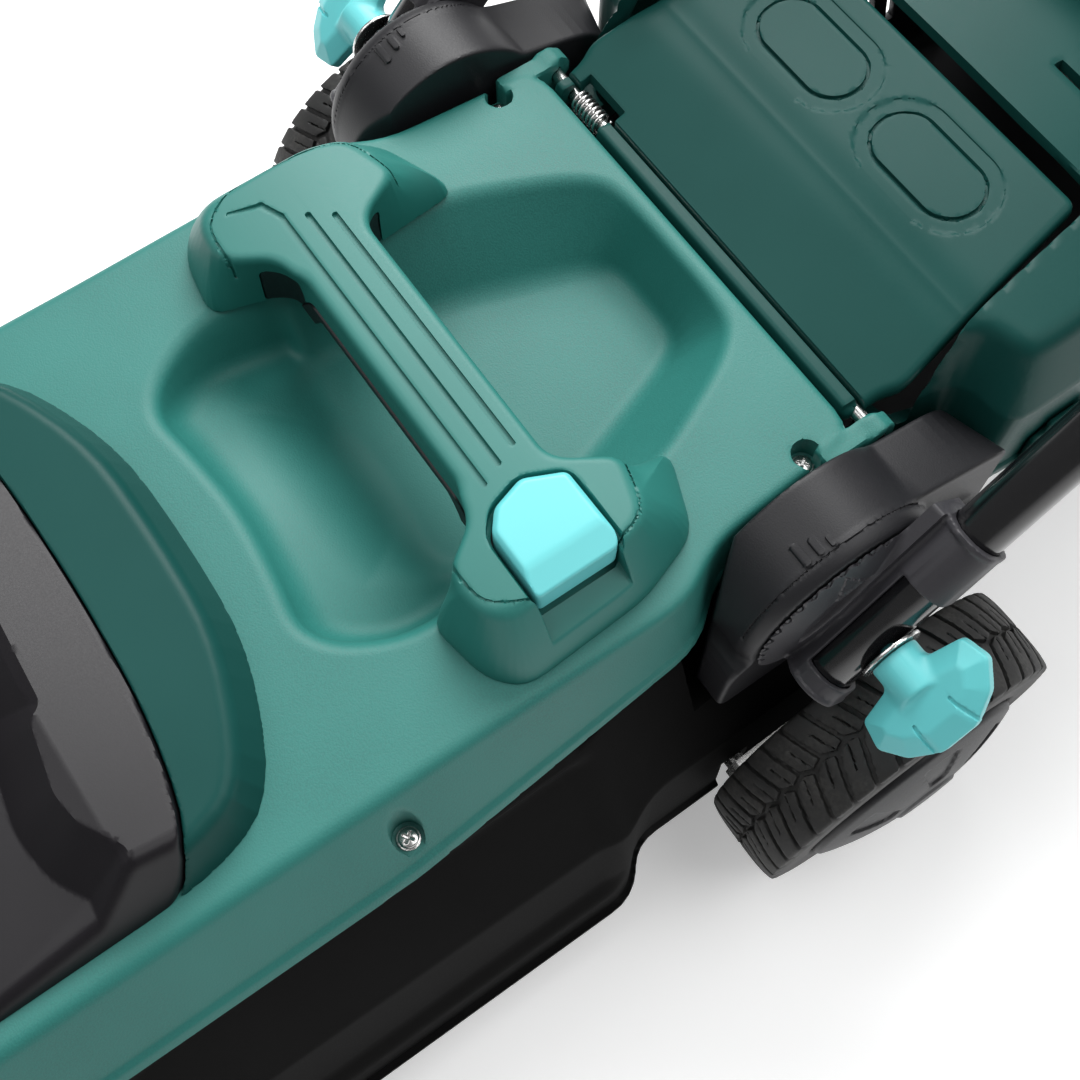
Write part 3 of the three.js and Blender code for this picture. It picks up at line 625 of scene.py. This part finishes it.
def build_deck():
    shell = mould("upper_shell", upper_shell, (-153, -398, 190), (153, 149, 234), 1.5, GREEN, keep=0.35)
    place(shell, "deck", ["deck_upper_shell"])
    skirt = mould("lower_shell", lower_shell, (-192, -398, 36), (192, 133, 193), 3.0, BLACK_SKIRT_SHADE, keep=0.5)
    place(skirt, "deck", ["deck_lower_shell"])
    collar = mould("hood_band", hood_collar, (-121, -384, TOP), (121, -110, TOP + 22), 1.2, GREEN_DARK, keep=0.4)
    place(collar, "deck", ["motor_hood_collar"])
    cover = mould("hood_cover", hood_cover, (-121, -384, TOP), (121, -150, TOP + 34), 1.4, BLACK_SMOOTH, keep=0.4)
    place(cover, "deck", ["motor_hood_cover"])
    bridge = mould("carry_handle", handle_cover, (-124, -55, TOP), (124, 66, TOP + 37), 0.8, GREEN_SMOOTH, keep=0.35)
    place(bridge, "deck", ["carry_handle_cover"])
    lining = mould("carry_insert", handle_insert, (-88, -33, TOP), (88, 26, TOP + 27), 1.1, BLACK, keep=0.5)
    place(lining, "deck", ["carry_handle_insert"])
    press = mould("height_button_cap", button, (64, -24, TOP + 18), (115, 18, TOP + 40), 0.7, TURQUOISE, keep=0.5)
    place(press, "height_button", ["height_button"])
    for (px, py, floor), row in zip(SEATS, ("front", "rear")):
        head = mould(f"screw_{row}_left", screw(px, py, floor), (px - 6, py - 6, floor),
                     (px + 6, py + 6, floor + 4), 0.3, STEEL, keep=0.6)
        place(head, "deck", [f"deck_screw_{row}_left"])
        place(flipped(f"screw_{row}_right", head), "deck", [f"deck_screw_{row}_right"])


# ---------------------------------------------------------------- brackets and lower handle
DOME_ROOT = [(44, 152), (46, 182), (51, 196), (59, 215), (69, 229), (87, 237), (110, 238), (132, 233), (166, 225),
             (178, 212), (180, 152)]
DOME_TAIL = [(62, 152), (62, 205), (92, 248), (126, 238.5), (184, 219), (184, 152)]
DOME_FOOT = [(36, 152), (38, 186), (60, 200), (140, 200), (180, 178), (180, 152)]


def bracket(x, y, z):
    """A dome that grows out of the deck's corner into a round boss about the angle pivot."""
    r = np.hypot(y - PIVOT[0], z - PIVOT[1])
    root = outline(y, z, rounded(DOME_ROOT, 14))
    tail = outline(y, z, rounded(DOME_TAIL, 8))
    flank = smax(mix(root, smin(r - 47, tail, 5), np.clip((x - 120) / 30, 0, 1)), between(x, 119.5, 150), 2)
    boss = smax(r - 47 + 0.05 * np.maximum(x - 150, 0) ** 2, between(x, 119.5, 157.5), 1.5)
    boss = smax(boss, smin(root, r - 47, 4) - 0.6 * np.maximum(x - 120, 0), 2)
    foot = smax(outline(y, z, rounded(DOME_FOOT, 8)), between(x, 119.5, 157.5), 3)
    body = smin(smin(flank, boss, 1.5), foot, 4)
    body = smax(body, 151.8 - z, 1)
    corner = outline(x, y, [(100, 28), (141, 28), (141, 37.5), (121.5, 60), (119, 131), (100, 131)])
    body = smax(body, -corner, 1.2)
    for at, x0, x1, half in ((72, 140.5, 148, 1.5), (78, 142.5, 148, 1.3), (83.5, 145.5, 148.5, 1.0)):
        mark = segment(x, y, (x0, at), (x1, at), half)
        mark = smax(smax(mark, 225 - z, 0.3), body - 1.2, 0.4)
        body = smin(body, mark, 0.4)
    seam = smax(np.abs(x - 150.6) - 0.3, -(body + 0.7), 0.2)
    seam = smax(seam, 52 - y - (z - 205), 0.3)
    body = smax(body, -smax(seam, y - 128, 0.3), 0.3)
    body = smax(body, x - 157.4, 0.3)
    return smax(body, -(r - 4.6), 0.5)


def holder(x, s, n):
    """The disc that turns on the bracket, with an arm and two cups that carry the tube."""
    r = np.hypot(s, n)
    face = 165.2 - 0.0035 * r**2
    plate = smax(smax(r - 44.5, x - face, 1.2), 158 - x, 0.5)
    arm = smax(smax(between(s, 0, 58), between(n, -14, 14), 2), between(x, 158, 164), 0.6)
    tube_gap = np.hypot(x - TUBE_X, n) - 11.25
    sleeve = smax(np.hypot(x - TUBE_X, n) - 14.0, x - 188.2, 0.8)
    lip = smax(np.hypot(x - TUBE_X, n) - 14.8, x - 188.2, 0.8)
    rear_cup = smin(smax(sleeve, between(s, 30, 58), 1.0), smax(lip, between(s, 55.5, 58), 0.8), 0.8)
    front_cup = smin(smax(sleeve, between(s, -33, -24), 1.0), smax(lip, between(s, -33, -31), 0.8), 0.8)
    bed = smax(smax(np.hypot(x - TUBE_X, n) - 14.0, between(s, -33, 58), 1), x - 170, 1)
    body = smin(smin(plate, arm, 2), smin(smin(rear_cup, front_cup, 1), bed, 1), 3.5)
    body = smax(body, 158 - x, 0.4)
    body = smax(body, -tube_gap, 0.5)
    swing = np.arctan2(n, s) + SLOPE
    wave = 42.4 + 1.4 * np.sin(swing * 37)
    seam = smax(smax(np.abs(r - wave) * 0.75 - 0.5, face - 0.9 - x, 0.2), -(n - 4 - 0.4 * np.abs(s)), 0.3)
    body = smax(body, -seam, 0.4)
    u = (s - n) * math.sqrt(0.5)
    v = (s + n) * math.sqrt(0.5)
    u, v = u * math.cos(0.25) + v * math.sin(0.25), v * math.cos(0.25) - u * math.sin(0.25)
    pointer = np.maximum(27 - v, (v - 38) * 0.5 + np.abs(u) * 0.87)
    body = smin(body, smax(np.abs(pointer) - 0.5, between(x, 160, face + 0.7), 0.3), 0.3)
    dish = smax(smax(r - 26, between(x, 161.6, 170), 1), 15.5 - n, 1)
    body = smax(body, -dish, 1.2)
    return smax(body, -(r - 4.7), 0.4)


def wing_knob(x0, wing):
    def field(x, s, n):
        u = x - x0
        hub = smax(np.hypot(s, n) - 10.5, between(u, 0, 18), 1.5)
        fan = [(8, 8), (12, wing - 3), (24, wing), (34, wing - 8), (40.5, 9)]
        fan = fan + [(a, -b) for a, b in reversed(fan)]
        plan = outline(u, s, rounded(fan, 2))
        edge_slope = (np.abs(n) - 2.6 + 0.52 * plan) * 0.89
        plate = smax(smax(plan, np.abs(n) - 7, 0.8), edge_slope, 0.7)
        thick = np.minimum(7.0, 2.6 - 0.52 * plan)
        body = smin(hub, plate, 3)
        for k in (-1, 1):
            notch = segment(u, s, (27, 9.5 * k), (44, 12 * k), 0.9)
            body = smax(body, -smax(notch, thick - 1.1 - np.abs(n), 0.3), 0.6)
        bump = np.sqrt((u - 13) ** 2 + (s / 1.8) ** 2 + (n - 7) ** 2) - 1.6
        body = smin(body, bump, 0.6)
        stud = smax(np.hypot(s, n) - 4, between(u, -45.5, 1), 0.5)
        return smin(body, stud, 0.3)

    return field


def washer(x, s, n):
    r = np.hypot(s, n)
    return smax(smax(r - 14, 4.5 - r, 0.3), between(x, 186.7, 188.4), 0.6)


def straight_tube(name, x, s0, s1, radius, material):
    steps = [s0, s0 + 0.01, s0 + 0.8, s0 + 2, s1 - 2, s1 - 0.8, s1 - 0.01, s1]
    radii = [radius - 1.4, radius - 1.4, radius - 0.4, radius, radius, radius - 0.4, radius - 1.4, radius - 1.4]
    path = [(x, *along(s)) for s in steps]
    return sweep(name, path, radii, 40, material)


def build_sides():
    cheek = mould("side_bracket_left", bracket, (118, 30, 150), (160, 182, 254), 0.9, BLACK, keep=0.4)
    place(cheek, "deck", ["handle_bracket_left"])
    place(flipped("side_bracket_right", cheek), "deck", ["handle_bracket_right"])
    room = handle_box((157, 190), (-45, 60), (-45, 45))
    clasp = mould("holder_left", on_handle(holder), *room, 0.9, BLACK_PAINTED_SHEEN, keep=0.4)
    place(clasp, "lower_handle", ["handle_holder_left"])
    place(flipped("holder_right", clasp), "lower_handle", ["handle_holder_right"])
    room = handle_box((186, 190), (-15, 15), (-15, 15))
    ring = mould("washer_left", on_handle(washer), *room, 0.5, STEEL, keep=0.5)
    place(ring, "lower_handle", ["clamp_washer_left"])
    place(flipped("washer_right", ring), "lower_handle", ["clamp_washer_right"])
    for side, word in ((1, "left"), (-1, "right")):
        tube = straight_tube(f"tube_{word}", side * TUBE_X, -30, 420, 11, TUBE)
        place(tube, "lower_handle", [f"lower_tube_{word}"])
    for kind, x0, wing, at in (("angle", 188.7, 30, 0), ("fold", 187, 26, FOLD_AT)):
        field = wing_knob(x0, wing)
        moved = on_handle(lambda x, s, n: field(x, s - at, n))
        low_c, high_c = handle_box((140, 231), (at - 32, at + 32), (-12, 12))
        knob = mould(f"{kind}_wing_left", moved, low_c, high_c, 0.8, TURQUOISE, keep=0.4)
        place(knob, f"{kind}_knob_left", [f"{kind}_knob_left"])
        place(flipped(f"{kind}_wing_right", knob), f"{kind}_knob_right", [f"{kind}_knob_right"])


# ---------------------------------------------------------------- wheels
WHEELS = {
    "rear": {"y": 109.0, "r": 82.0, "x": (177.0, 223.0), "blocks": 40},
    "front": {"y": -320.0, "r": 65.0, "x": (171.0, 207.0), "blocks": 32},
}


def wheel(spec):
    x0, x1 = spec["x"]
    radius = spec["r"]
    count = spec["blocks"]

    def field(x, y, z):
        py, pz = y - spec["y"], z - radius
        r = np.hypot(py, pz)
        angle = np.arctan2(pz, py)
        mid = (x0 + x1) / 2
        half = (x1 - x0) / 2
        across = (x - mid) / half
        pitch = 2 * np.pi / count
        crown = r - radius + 2.2 * np.abs(across) ** 4
        body = smax(crown + 2.4, between(x, x0, x1), 4)
        turn = (angle - 0.11 * np.abs(across) - 0.5 * pitch * (across > 0)) / pitch
        bar = (np.abs(turn % 1.0 - 0.5) - 0.405) * pitch * radius
        zigzag = 1.4 * (np.abs(((angle / pitch) % 1.0) - 0.5) * 4 - 1)
        lug = smax(bar, 1.3 - np.abs(x - mid + zigzag), 0.8)
        sipe = (0.035 - np.abs(turn % 1.0 - 0.5)) * -pitch * radius
        sipe = smax(sipe, between(np.abs(across), 0.05, 0.5) * half, 0.4)
        lug = smax(lug, -smax(sipe, radius - 1.8 - r, 0.4), 0.4)
        lug = smax(smax(lug, crown, 0.9), radius - 8 - r, 1)
        lug = smax(lug, between(x, x0 + 0.8, x1 - 0.8), 1.5)
        body = smin(body, lug, 0.7)
        dish = smax(r - radius * 0.71, (x0 + x1) / 2 + 4 - x, 3)
        body = smax(body, -dish, 2.5)
        inner = smax(r - radius * 0.70, x - (x0 + 18), 3)
        body = smax(body, -inner, 2)
        hub = smax(r - 15, between(x, x0 + 1, x1 + 3), 2)
        spokes = np.abs(np.sin(angle * 3)) * r - 2.2
        rib = smax(smax(spokes, r - radius * 0.72, 1), between(x, x0 + 4, x0 + 20), 1)
        body = smin(smin(body, hub, 2), rib, 1.5)
        return smax(body, -(r - 5.4), 0.5)

    return field


def hub_cap(spec):
    x1 = spec["x"][1]
    rim = spec["r"] * 0.7 - 1.0

    def field(x, y, z):
        py, pz = y - spec["y"], z - spec["r"]
        r = np.hypot(py, pz)
        angle = np.arctan2(pz, py)
        face = x1 + 11.5 - 9 * (r / rim) ** 2.4
        body = smax(smax(x - face, r - rim, 2), face - 3.2 - x, 1)
        skirt = smax(np.abs(r - rim + 1.2) - 1.2, between(x, x1 - 11.5, x1 + 1), 0.8)
        body = smin(body, skirt, 1)
        window = ((angle * 6 / (2 * np.pi)) % 1.0 - 0.5) * 2 * np.pi * r / 6
        hole = smax(np.abs(window) - 0.26 * r + 2, between(r, rim * 0.42, rim * 0.84), 4)
        body = smax(body, -smax(hole, face - 1.3 - x, 0.4), 1.2)
        boss = smax(r - rim * 0.28, x - face - 1.0, 1.2)
        boss = smax(boss, face - 3 - x, 1)
        return smax(smin(body, boss, 1.5), x1 + 4.6 - x - 900 * (r > 15.5), 0.3)

    return field


def build_wheels():
    for row, spec in WHEELS.items():
        x0, x1 = spec["x"]
        r = spec["r"]
        low_c, high_c = (x0 - 1, spec["y"] - r - 1, -1), (x1 + 4, spec["y"] + r + 1, 2 * r + 1)
        tyre = mould(f"tyre_{row}_left", wheel(spec), low_c, high_c, 1.25, TYRE, keep=0.4)
        place(tyre, f"wheel_{row}_left", [f"wheel_{row}_left"])
        place(flipped(f"tyre_{row}_right", tyre), f"wheel_{row}_right", [f"wheel_{row}_right"])
        rim = r * 0.7
        low_c, high_c = (x1 - 13, spec["y"] - rim, r - rim), (x1 + 13, spec["y"] + rim, r + rim)
        cap = mould(f"cap_{row}_left", hub_cap(spec), low_c, high_c, 1.2, BLACK, keep=0.4)
        place(cap, f"wheel_{row}_left", [f"hub_cap_{row}_left"])
        place(flipped(f"cap_{row}_right", cap), f"wheel_{row}_right", [f"hub_cap_{row}_right"])


# ---------------------------------------------------------------- flap and grass box
def flap(x, y, z):
    """Discharge flap: a rolled hinge edge, a steep facet, then a nearly flat panel."""
    span = np.abs(x)
    plan = outline(x, y, rounded(mirrored([(103, 133), (104, 150), (108, 158), (104, 184), (90, 261)]), 5))
    top = 228.5 + 0.37 * np.clip(y - 141, 0, 51) + 0.11 * np.clip(y - 192, 0, 80)
    top = top - 1.6 * np.exp(-(((y - 192) / 9.0) ** 2))
    sheet = smax(smax(plan, (z - top) * 0.95, 4), top - 6.5 - z, 1)
    roll = outline(y, z, rounded([(133.5, 221), (133.5, 231), (140.5, 231), (140.5, 221)], 2))
    roll = smax(roll, span - 100, 1)
    ditch = smax(between(y, 140.5, 143.2), 224 - z, 0.6)
    panel = np.where(x > 0, segment(x, y, (24, 226), (52, 226), 15), segment(x, y, (-24, 226), (-52, 226), 15))
    body = smax(sheet, -smax(panel - 7, top - 0.6 - z, 0.3), 0.6)
    body = smin(body, smax(smax(panel, z - top, 0.6), top - 3 - z, 0.3), 0.4)
    body = smax(body, -smax(np.abs(panel) - 0.8, top - 2 - z, 0.4), 0.5)
    barrel = smax(np.hypot(y - 140, z - 224) - 5.6, span - 99.5, 1)
    body = smin(smin(body, roll, 1), barrel, 1.5)
    body = smax(body, -ditch, 0.8)
    body = smax(body, -block(x, y, z, (-95, -69), (130, 149), (205, 240), 1), 0.6)
    return smax(body, -(np.hypot(y - 140, z - 224) - 3.4), 0.3)


LID_FOOT = mirrored([(110, 152), (117, 184), (143, 186), (145, 200), (145, 480), (110, 512)])
LID_CROWN = mirrored([(104, 158), (109, 190), (129, 196), (131, 208), (128, 465), (100, 492)])


def lid(x, y, z):
    rise = np.clip((z - 226) / 36, 0, 1.1)
    side = mix(outline(x, y, rounded(LID_FOOT, 12)), outline(x, y, rounded(LID_CROWN, 12)), rise)
    outer = smax(side, z - 262 + 0.0002 * x * x, 7)
    rim = smax(side - 1.5, between(z, 170.3, 177), 1.5)
    outer = smin(outer, rim, 1.5)
    body = smax(outer, -(outer + 5.5), 0.4)
    notch = outline(x, y, rounded(mirrored([(114, 120), (112, 165), (106.5, 187), (94, 267)]), 5))
    body = smax(body, -smax(notch, 205 - z, 2), 1.5)
    body = smax(body, -block(x, y, z, (-95, 95), (130, 176), (150, 232), 4), 1)
    for k in range(9):
        slot = block(np.abs(x), y, z, (34, 96), (296 + 17 * k, 301 + 17 * k), (240, 280), 2)
        body = smax(body, -slot, 1)
    body = smax(body, -block(x, y, z, (-26, 26), (404, 436), (240, 280), 3), 1)
    return np.maximum(body, 170.3 - z)


def basket(x, y, z):
    top_ring = mirrored([(110, 140), (115, 184), (141, 186), (143, 200), (143, 480), (108, 510)])
    low_ring = mirrored([(98, 142), (104, 184), (118, 196), (122, 260), (122, 462), (92, 490)])
    side = mix(outline(x, y, rounded(low_ring, 14)), outline(x, y, rounded(top_ring, 14)), (z - 60) / 110)
    outer = smax(side, 60 - z, 9)
    body = smax(outer, -(outer + 5), 0.4)
    rim = smax(np.abs(side + 0.5) - 2.0, between(z, 163, 169.9), 1.2)
    body = smin(body, rim, 1)
    body = smax(body, -block(x, y, z, (-88, 88), (120, 168), (76, 190), 4), 1)
    for k in range(14):
        slot = block(x, y, z, (-200, 200), (225 + 16 * k, 231 + 16 * k), (92, 148), 2.5)
        body = smax(body, -smax(slot, 60 - np.abs(x), 1), 1)
    for k in range(-4, 5):
        slot = block(x, y, z, (22 * k - 5, 22 * k + 5), (450, 530), (92, 148), 3)
        body = smax(body, -slot, 1)
    return np.maximum(body, z - 169.9)


def box_handle(x, y, z):
    span = np.abs(x)
    bar = smax(between(z, 281, 292), span - 66, 4)
    legs = smax(between(span, 56, 69.5), between(z, 263.4, 290), 3)
    body = smin(bar, legs, 6)
    body = smax(body, between(y, 338.5, 361.5), 5)
    return body


def clip(x, y, z):
    tab = block(x, y, z, (145.6, 150), (207, 243), (160, 195), 3)
    lever = block(x, y, z, (146, 149.5), (214, 236), (194, 203), 2.5)
    ridge = smin(tab, lever, 3)
    for k in range(3):
        groove = block(x, y, z, (149, 152), (212, 238), (167 + 7 * k, 169.5 + 7 * k), 1)
        ridge = smax(ridge, -groove, 0.6)
    return ridge


def indicator(x, y, z):
    body = block(x, y, z, (-29.6, 29.6), (400.4, 439.6), (262.4, 265.3), 1.2)
    grip_edge = block(x, y, z, (-12, 12), (434, 439.4), (264, 266.2), 1)
    return smin(body, grip_edge, 0.8)


def build_rear():
    door = mould("flap_panel", flap, (-112, 132, 216), (112, 263, 258), 1.2, GREEN_GLOSS, keep=0.4)
    place(door, "discharge_flap", ["discharge_flap"])
    rod = sweep("flap_rod", [(x, 140, 224) for x in (-118, -117.6, -117, 117, 117.6, 118)],
                [2.3, 2.8, 3, 3, 2.8, 2.3], 28, STEEL)
    place(rod, "deck", ["flap_hinge_rod"])
    turns = np.linspace(0, 2 * np.pi * 7, 200)
    wire = [(-91 + 18 * t / turns[-1], 140 + 4.5 * math.cos(t), 224 + 4.5 * math.sin(t)) for t in turns]
    coil = sweep("flap_coil", wire, 0.8, 8, STEEL)
    place(coil, "deck", ["flap_spring"])
    hood_box = mould("box_lid", lid, (-149, 148, 168), (149, 514, 264), 2.2, GREEN_GLOSS, keep=0.4)
    place(hood_box, "grass_box", ["grass_box_lid"])
    tub = mould("box_basket", basket, (-147, 136, 58), (147, 514, 171), 2.2, BLACK, keep=0.4)
    place(tub, "grass_box", ["grass_box_basket"])
    bail = mould("box_handle", box_handle, (-71, 337, 262), (71, 363, 294), 1.2, BLACK, keep=0.5)
    place(bail, "grass_box", ["grass_box_handle"])
    tab = mould("box_clip_left", clip, (145, 205, 158), (151, 245, 205), 0.9, GREEN_GLOSS, keep=0.5)
    place(tab, "grass_box", ["grass_box_clip_left"])
    place(flipped("box_clip_right", tab), "grass_box", ["grass_box_clip_right"])
    sign = mould("fill_flap", indicator, (-31, 399, 261), (31, 441, 267), 0.9, TURQUOISE, keep=0.5)
    place(sign, "fill_indicator", ["fill_indicator"])


# ---------------------------------------------------------------- upper handle
def handle_curve():
    bend = 60.0
    points = []
    for t in np.linspace(0, math.pi / 2, 14):
        points.append((UPPER_X - bend + bend * math.cos(t), HANDLE_END - bend + bend * math.sin(t)))
    left = [(UPPER_X, FOLD_AT - 30), (UPPER_X, FOLD_AT - 28.5), (UPPER_X, 600), (UPPER_X, 800)] + points
    right = [(-x, s) for x, s in reversed(left)]
    middle = [(x, HANDLE_END) for x in (40, 0, -40)]
    return [(x, *along(s)) for x, s in left + middle + right]


def switch_box(x, s, n):
    plan = [(-189.5, 811), (-189.5, 911), (-127, 911), (-113, 897), (-113, 825), (-127, 811)]
    side = outline(x, s, rounded(plan, 12))
    body = smax(side, between(n, -21.5, 29.5 - 0.0009 * (s - 861) ** 2), 8)
    seam = smax(np.abs(n - 2) - 0.5, -(body + 1.2), 0.2)
    body = smax(body, -seam, 0.4)
    panel = smax(outline(x, s, rounded([(-183, 820), (-183, 850), (-124, 850), (-124, 820)], 5)), 28 - n, 0.8)
    body = smax(body, -panel, 1.2)
    collar = smax(np.abs(np.hypot(x + 166, s - 875) - 11.5) - 1.6, between(n, 24, 31), 1)
    body = smin(body, collar, 1)
    body = smax(body, -smax(np.hypot(x + 166, s - 875) - 9.6, 15 - n, 0.3), 0.6)
    body = smax(body, -(np.hypot(x + UPPER_X, n) - 11.25), 0.4)
    return smax(body, -smax(np.hypot(s - BAIL_AT, n - 18) - 4.9, -(x + 131), 0.3), 0.4)


def bail_bearing(x, s, n):
    body = block(x, s, n, (136.5, 167.5), (BAIL_AT - 13.5, BAIL_AT + 13.5), (-14.5, 25.5), 5)
    body = smax(body, -(np.hypot(x - UPPER_X, n) - 11.25), 0.4)
    return smax(body, -smax(np.hypot(s - BAIL_AT, n - 18) - 4.9, x - 151, 0.3), 0.4)


def start_button(x, s, n):
    r = np.hypot(x + 166, s - 875)
    body = smax(smax(r - 8.8, between(n, 23, 35.6), 1.6), -(np.sqrt(r**2 + (n - 50) ** 2) - 15.4), 0.8)
    return body


def build_upper():
    points = handle_curve()
    radii = np.full(len(points), 11.0)
    radii[[0, -1]] = 9.6
    frame_tube = sweep("handle_frame", points, radii, 36, TUBE)
    place(frame_tube, "upper_handle", ["upper_handle_tube"])
    xs = np.linspace(-86, 86, 260)
    ribbed = 14.5 + 0.45 * np.sign(np.sin(xs * 0.9)) * (np.abs(xs) < 80)
    ribbed[[0, -1]] = 11.4
    sleeve = sweep("grip_sleeve", [(x, *along(HANDLE_END)) for x in xs], ribbed, 40, FOAM)
    place(sleeve, "upper_handle", ["handle_grip"])
    room = handle_box((-191, -111), (808, 914), (-24, 33))
    case = mould("switch_case", on_handle(switch_box), *room, 1.3, BLACK, keep=0.4)
    place(case, "upper_handle", ["switch_box"])
    support = mould("bail_support", on_handle(bail_bearing),
                    *handle_box((135, 169), (BAIL_AT - 15, BAIL_AT + 15), (-16, 27)), 1.1, BLACK, keep=0.4)
    place(support, "upper_handle", ["bail_bearing"])
    room = handle_box((-176, -156), (865, 885), (22, 37))
    knob = mould("start_cap", on_handle(start_button), *room, 0.6, TURQUOISE, keep=0.5)
    place(knob, "start_button", ["start_button"])
    x0, x1, reach, lift = -122, 146, HANDLE_END + 4, 40
    stops = [(x0, BAIL_AT, 18), (x0 + 20, BAIL_AT, 18), (x0 + 34, BAIL_AT + 18, 24), (x0 + 44, reach - 16, lift - 4),
             (x0 + 60, reach, lift), (x1 - 60, reach, lift), (x1 - 44, reach - 16, lift - 4),
             (x1 - 30, BAIL_AT + 18, 24), (x1 - 18, BAIL_AT, 18), (x1, BAIL_AT, 18)]
    lever = sweep("bail_bar", catmull([(x, *along(s, n)) for x, s, n in stops], 12, 0.2), 4.2, 20, TUBE)
    place(lever, "bail", ["bail_lever"])


def catmull(points, steps, tension):
    """A smooth curve through the points; a low tension keeps it close to the straight lines."""
    p = np.array([points[0], *points, points[-1]], float)
    out = []
    for i in range(1, len(p) - 2):
        m0, m1 = (p[i + 1] - p[i - 1]) * tension, (p[i + 2] - p[i]) * tension
        for t in np.linspace(0, 1, steps, endpoint=False):
            a = 2 * t**3 - 3 * t**2 + 1
            b = t**3 - 2 * t**2 + t
            c = -2 * t**3 + 3 * t**2
            d = t**3 - t**2
            out.append(a * p[i] + b * m0 + c * p[i + 1] + d * m1)
    out.append(p[-2])
    return out


# ---------------------------------------------------------------- pieces kept from the frame
KEPT = {
    STEEL: ["motor_shaft", "motor_bearing_lower", "motor_bearing_upper", "blade_bolt", "rear_axle", "front_axle",
            "height_link_rod"],
    IRON: ["motor_end_cap", "blade"],
    COPPER: ["motor_stator", "rotor_core"],
    BLACK: ["cooling_fan"],
}


def dress_kept_nodes():
    for material, names in KEPT.items():
        for name in names:
            node = bpy.data.objects[name]
            for slot in node.material_slots:
                slot.material = material
            bevel = node.modifiers.new("edges", "BEVEL")
            bevel.width = 0.6 * MM
            bevel.segments = 2
            bevel.limit_method = "ANGLE"
            bevel.angle_limit = math.radians(35)


# ---------------------------------------------------------------- stage, light and camera
def build_stage():
    bpy.ops.mesh.primitive_plane_add(size=60, location=(0, 0, 0))
    floor = bpy.context.object
    floor.name = "studio_floor"
    pale = bpy.data.materials.new("studio floor")
    pale.use_nodes = True
    shader = pale.node_tree.nodes["Principled BSDF"]
    shader.inputs["Base Color"].default_value = (0.92, 0.92, 0.92, 1)
    shader.inputs["Roughness"].default_value = 0.9
    shader.inputs["Emission Color"].default_value = (1, 1, 1, 1)
    shader.inputs["Emission Strength"].default_value = 0.32
    floor.data.materials.append(pale)
    world = bpy.data.worlds.new("studio")
    world.use_nodes = True
    world.node_tree.nodes["Background"].inputs["Color"].default_value = (1, 1, 1, 1)
    world.node_tree.nodes["Background"].inputs["Strength"].default_value = 0.22
    bpy.context.scene.world = world


def add_softbox(name, target, azimuth, elevation, distance, size, radiance):
    """A rectangular lamp of a given brightness, seen from the target at azimuth and elevation."""
    turn, tilt = math.radians(azimuth), math.radians(elevation)
    away = Vector((math.sin(turn) * math.cos(tilt), -math.cos(turn) * math.cos(tilt), math.sin(tilt)))
    data = bpy.data.lights.new(name, "AREA")
    data.shape = "RECTANGLE"
    data.size, data.size_y = size
    data.energy = radiance * math.pi * size[0] * size[1]
    lamp = bpy.data.objects.new(name, data)
    lamp.location = target + away * distance
    lamp.rotation_euler = (-away).to_track_quat("-Z", "Y").to_euler()
    bpy.context.scene.collection.objects.link(lamp)


def build_camera():
    azimuth, elevation = math.radians(55), math.radians(67)
    back = Vector((math.sin(azimuth) * math.cos(elevation), -math.cos(azimuth) * math.cos(elevation),
                   math.sin(elevation)))
    target = Vector((np.array([78.0, 0.0, TOP]) + SHIFT) * MM)
    data = bpy.data.cameras.new("camera")
    data.sensor_width = 36
    data.lens = 48.33
    data.clip_start = 0.02
    eye = bpy.data.objects.new("camera", data)
    eye.location = target + back * 0.56
    eye.rotation_euler = (-back).to_track_quat("-Z", "Y").to_euler()
    bpy.context.scene.collection.objects.link(eye)
    bpy.context.scene.camera = eye
    return target


bpy.context.scene.view_settings.view_transform = "Standard"
target = build_camera()
build_stage()

for name, azimuth, elevation, distance, size, radiance in (
    ("sheen", 232, 44, 2.2, (1.5, 1.1), 11.0),
    ("top_left", 150, 58, 2.1, (1.6, 1.6), 2.6),
    ("top_right", 318, 58, 2.1, (1.6, 1.6), 2.1),
):
    add_softbox(name, target, azimuth, elevation, distance, size, radiance)
build_deck()
build_sides()
build_wheels()
build_rear()
build_upper()
dress_kept_nodes()
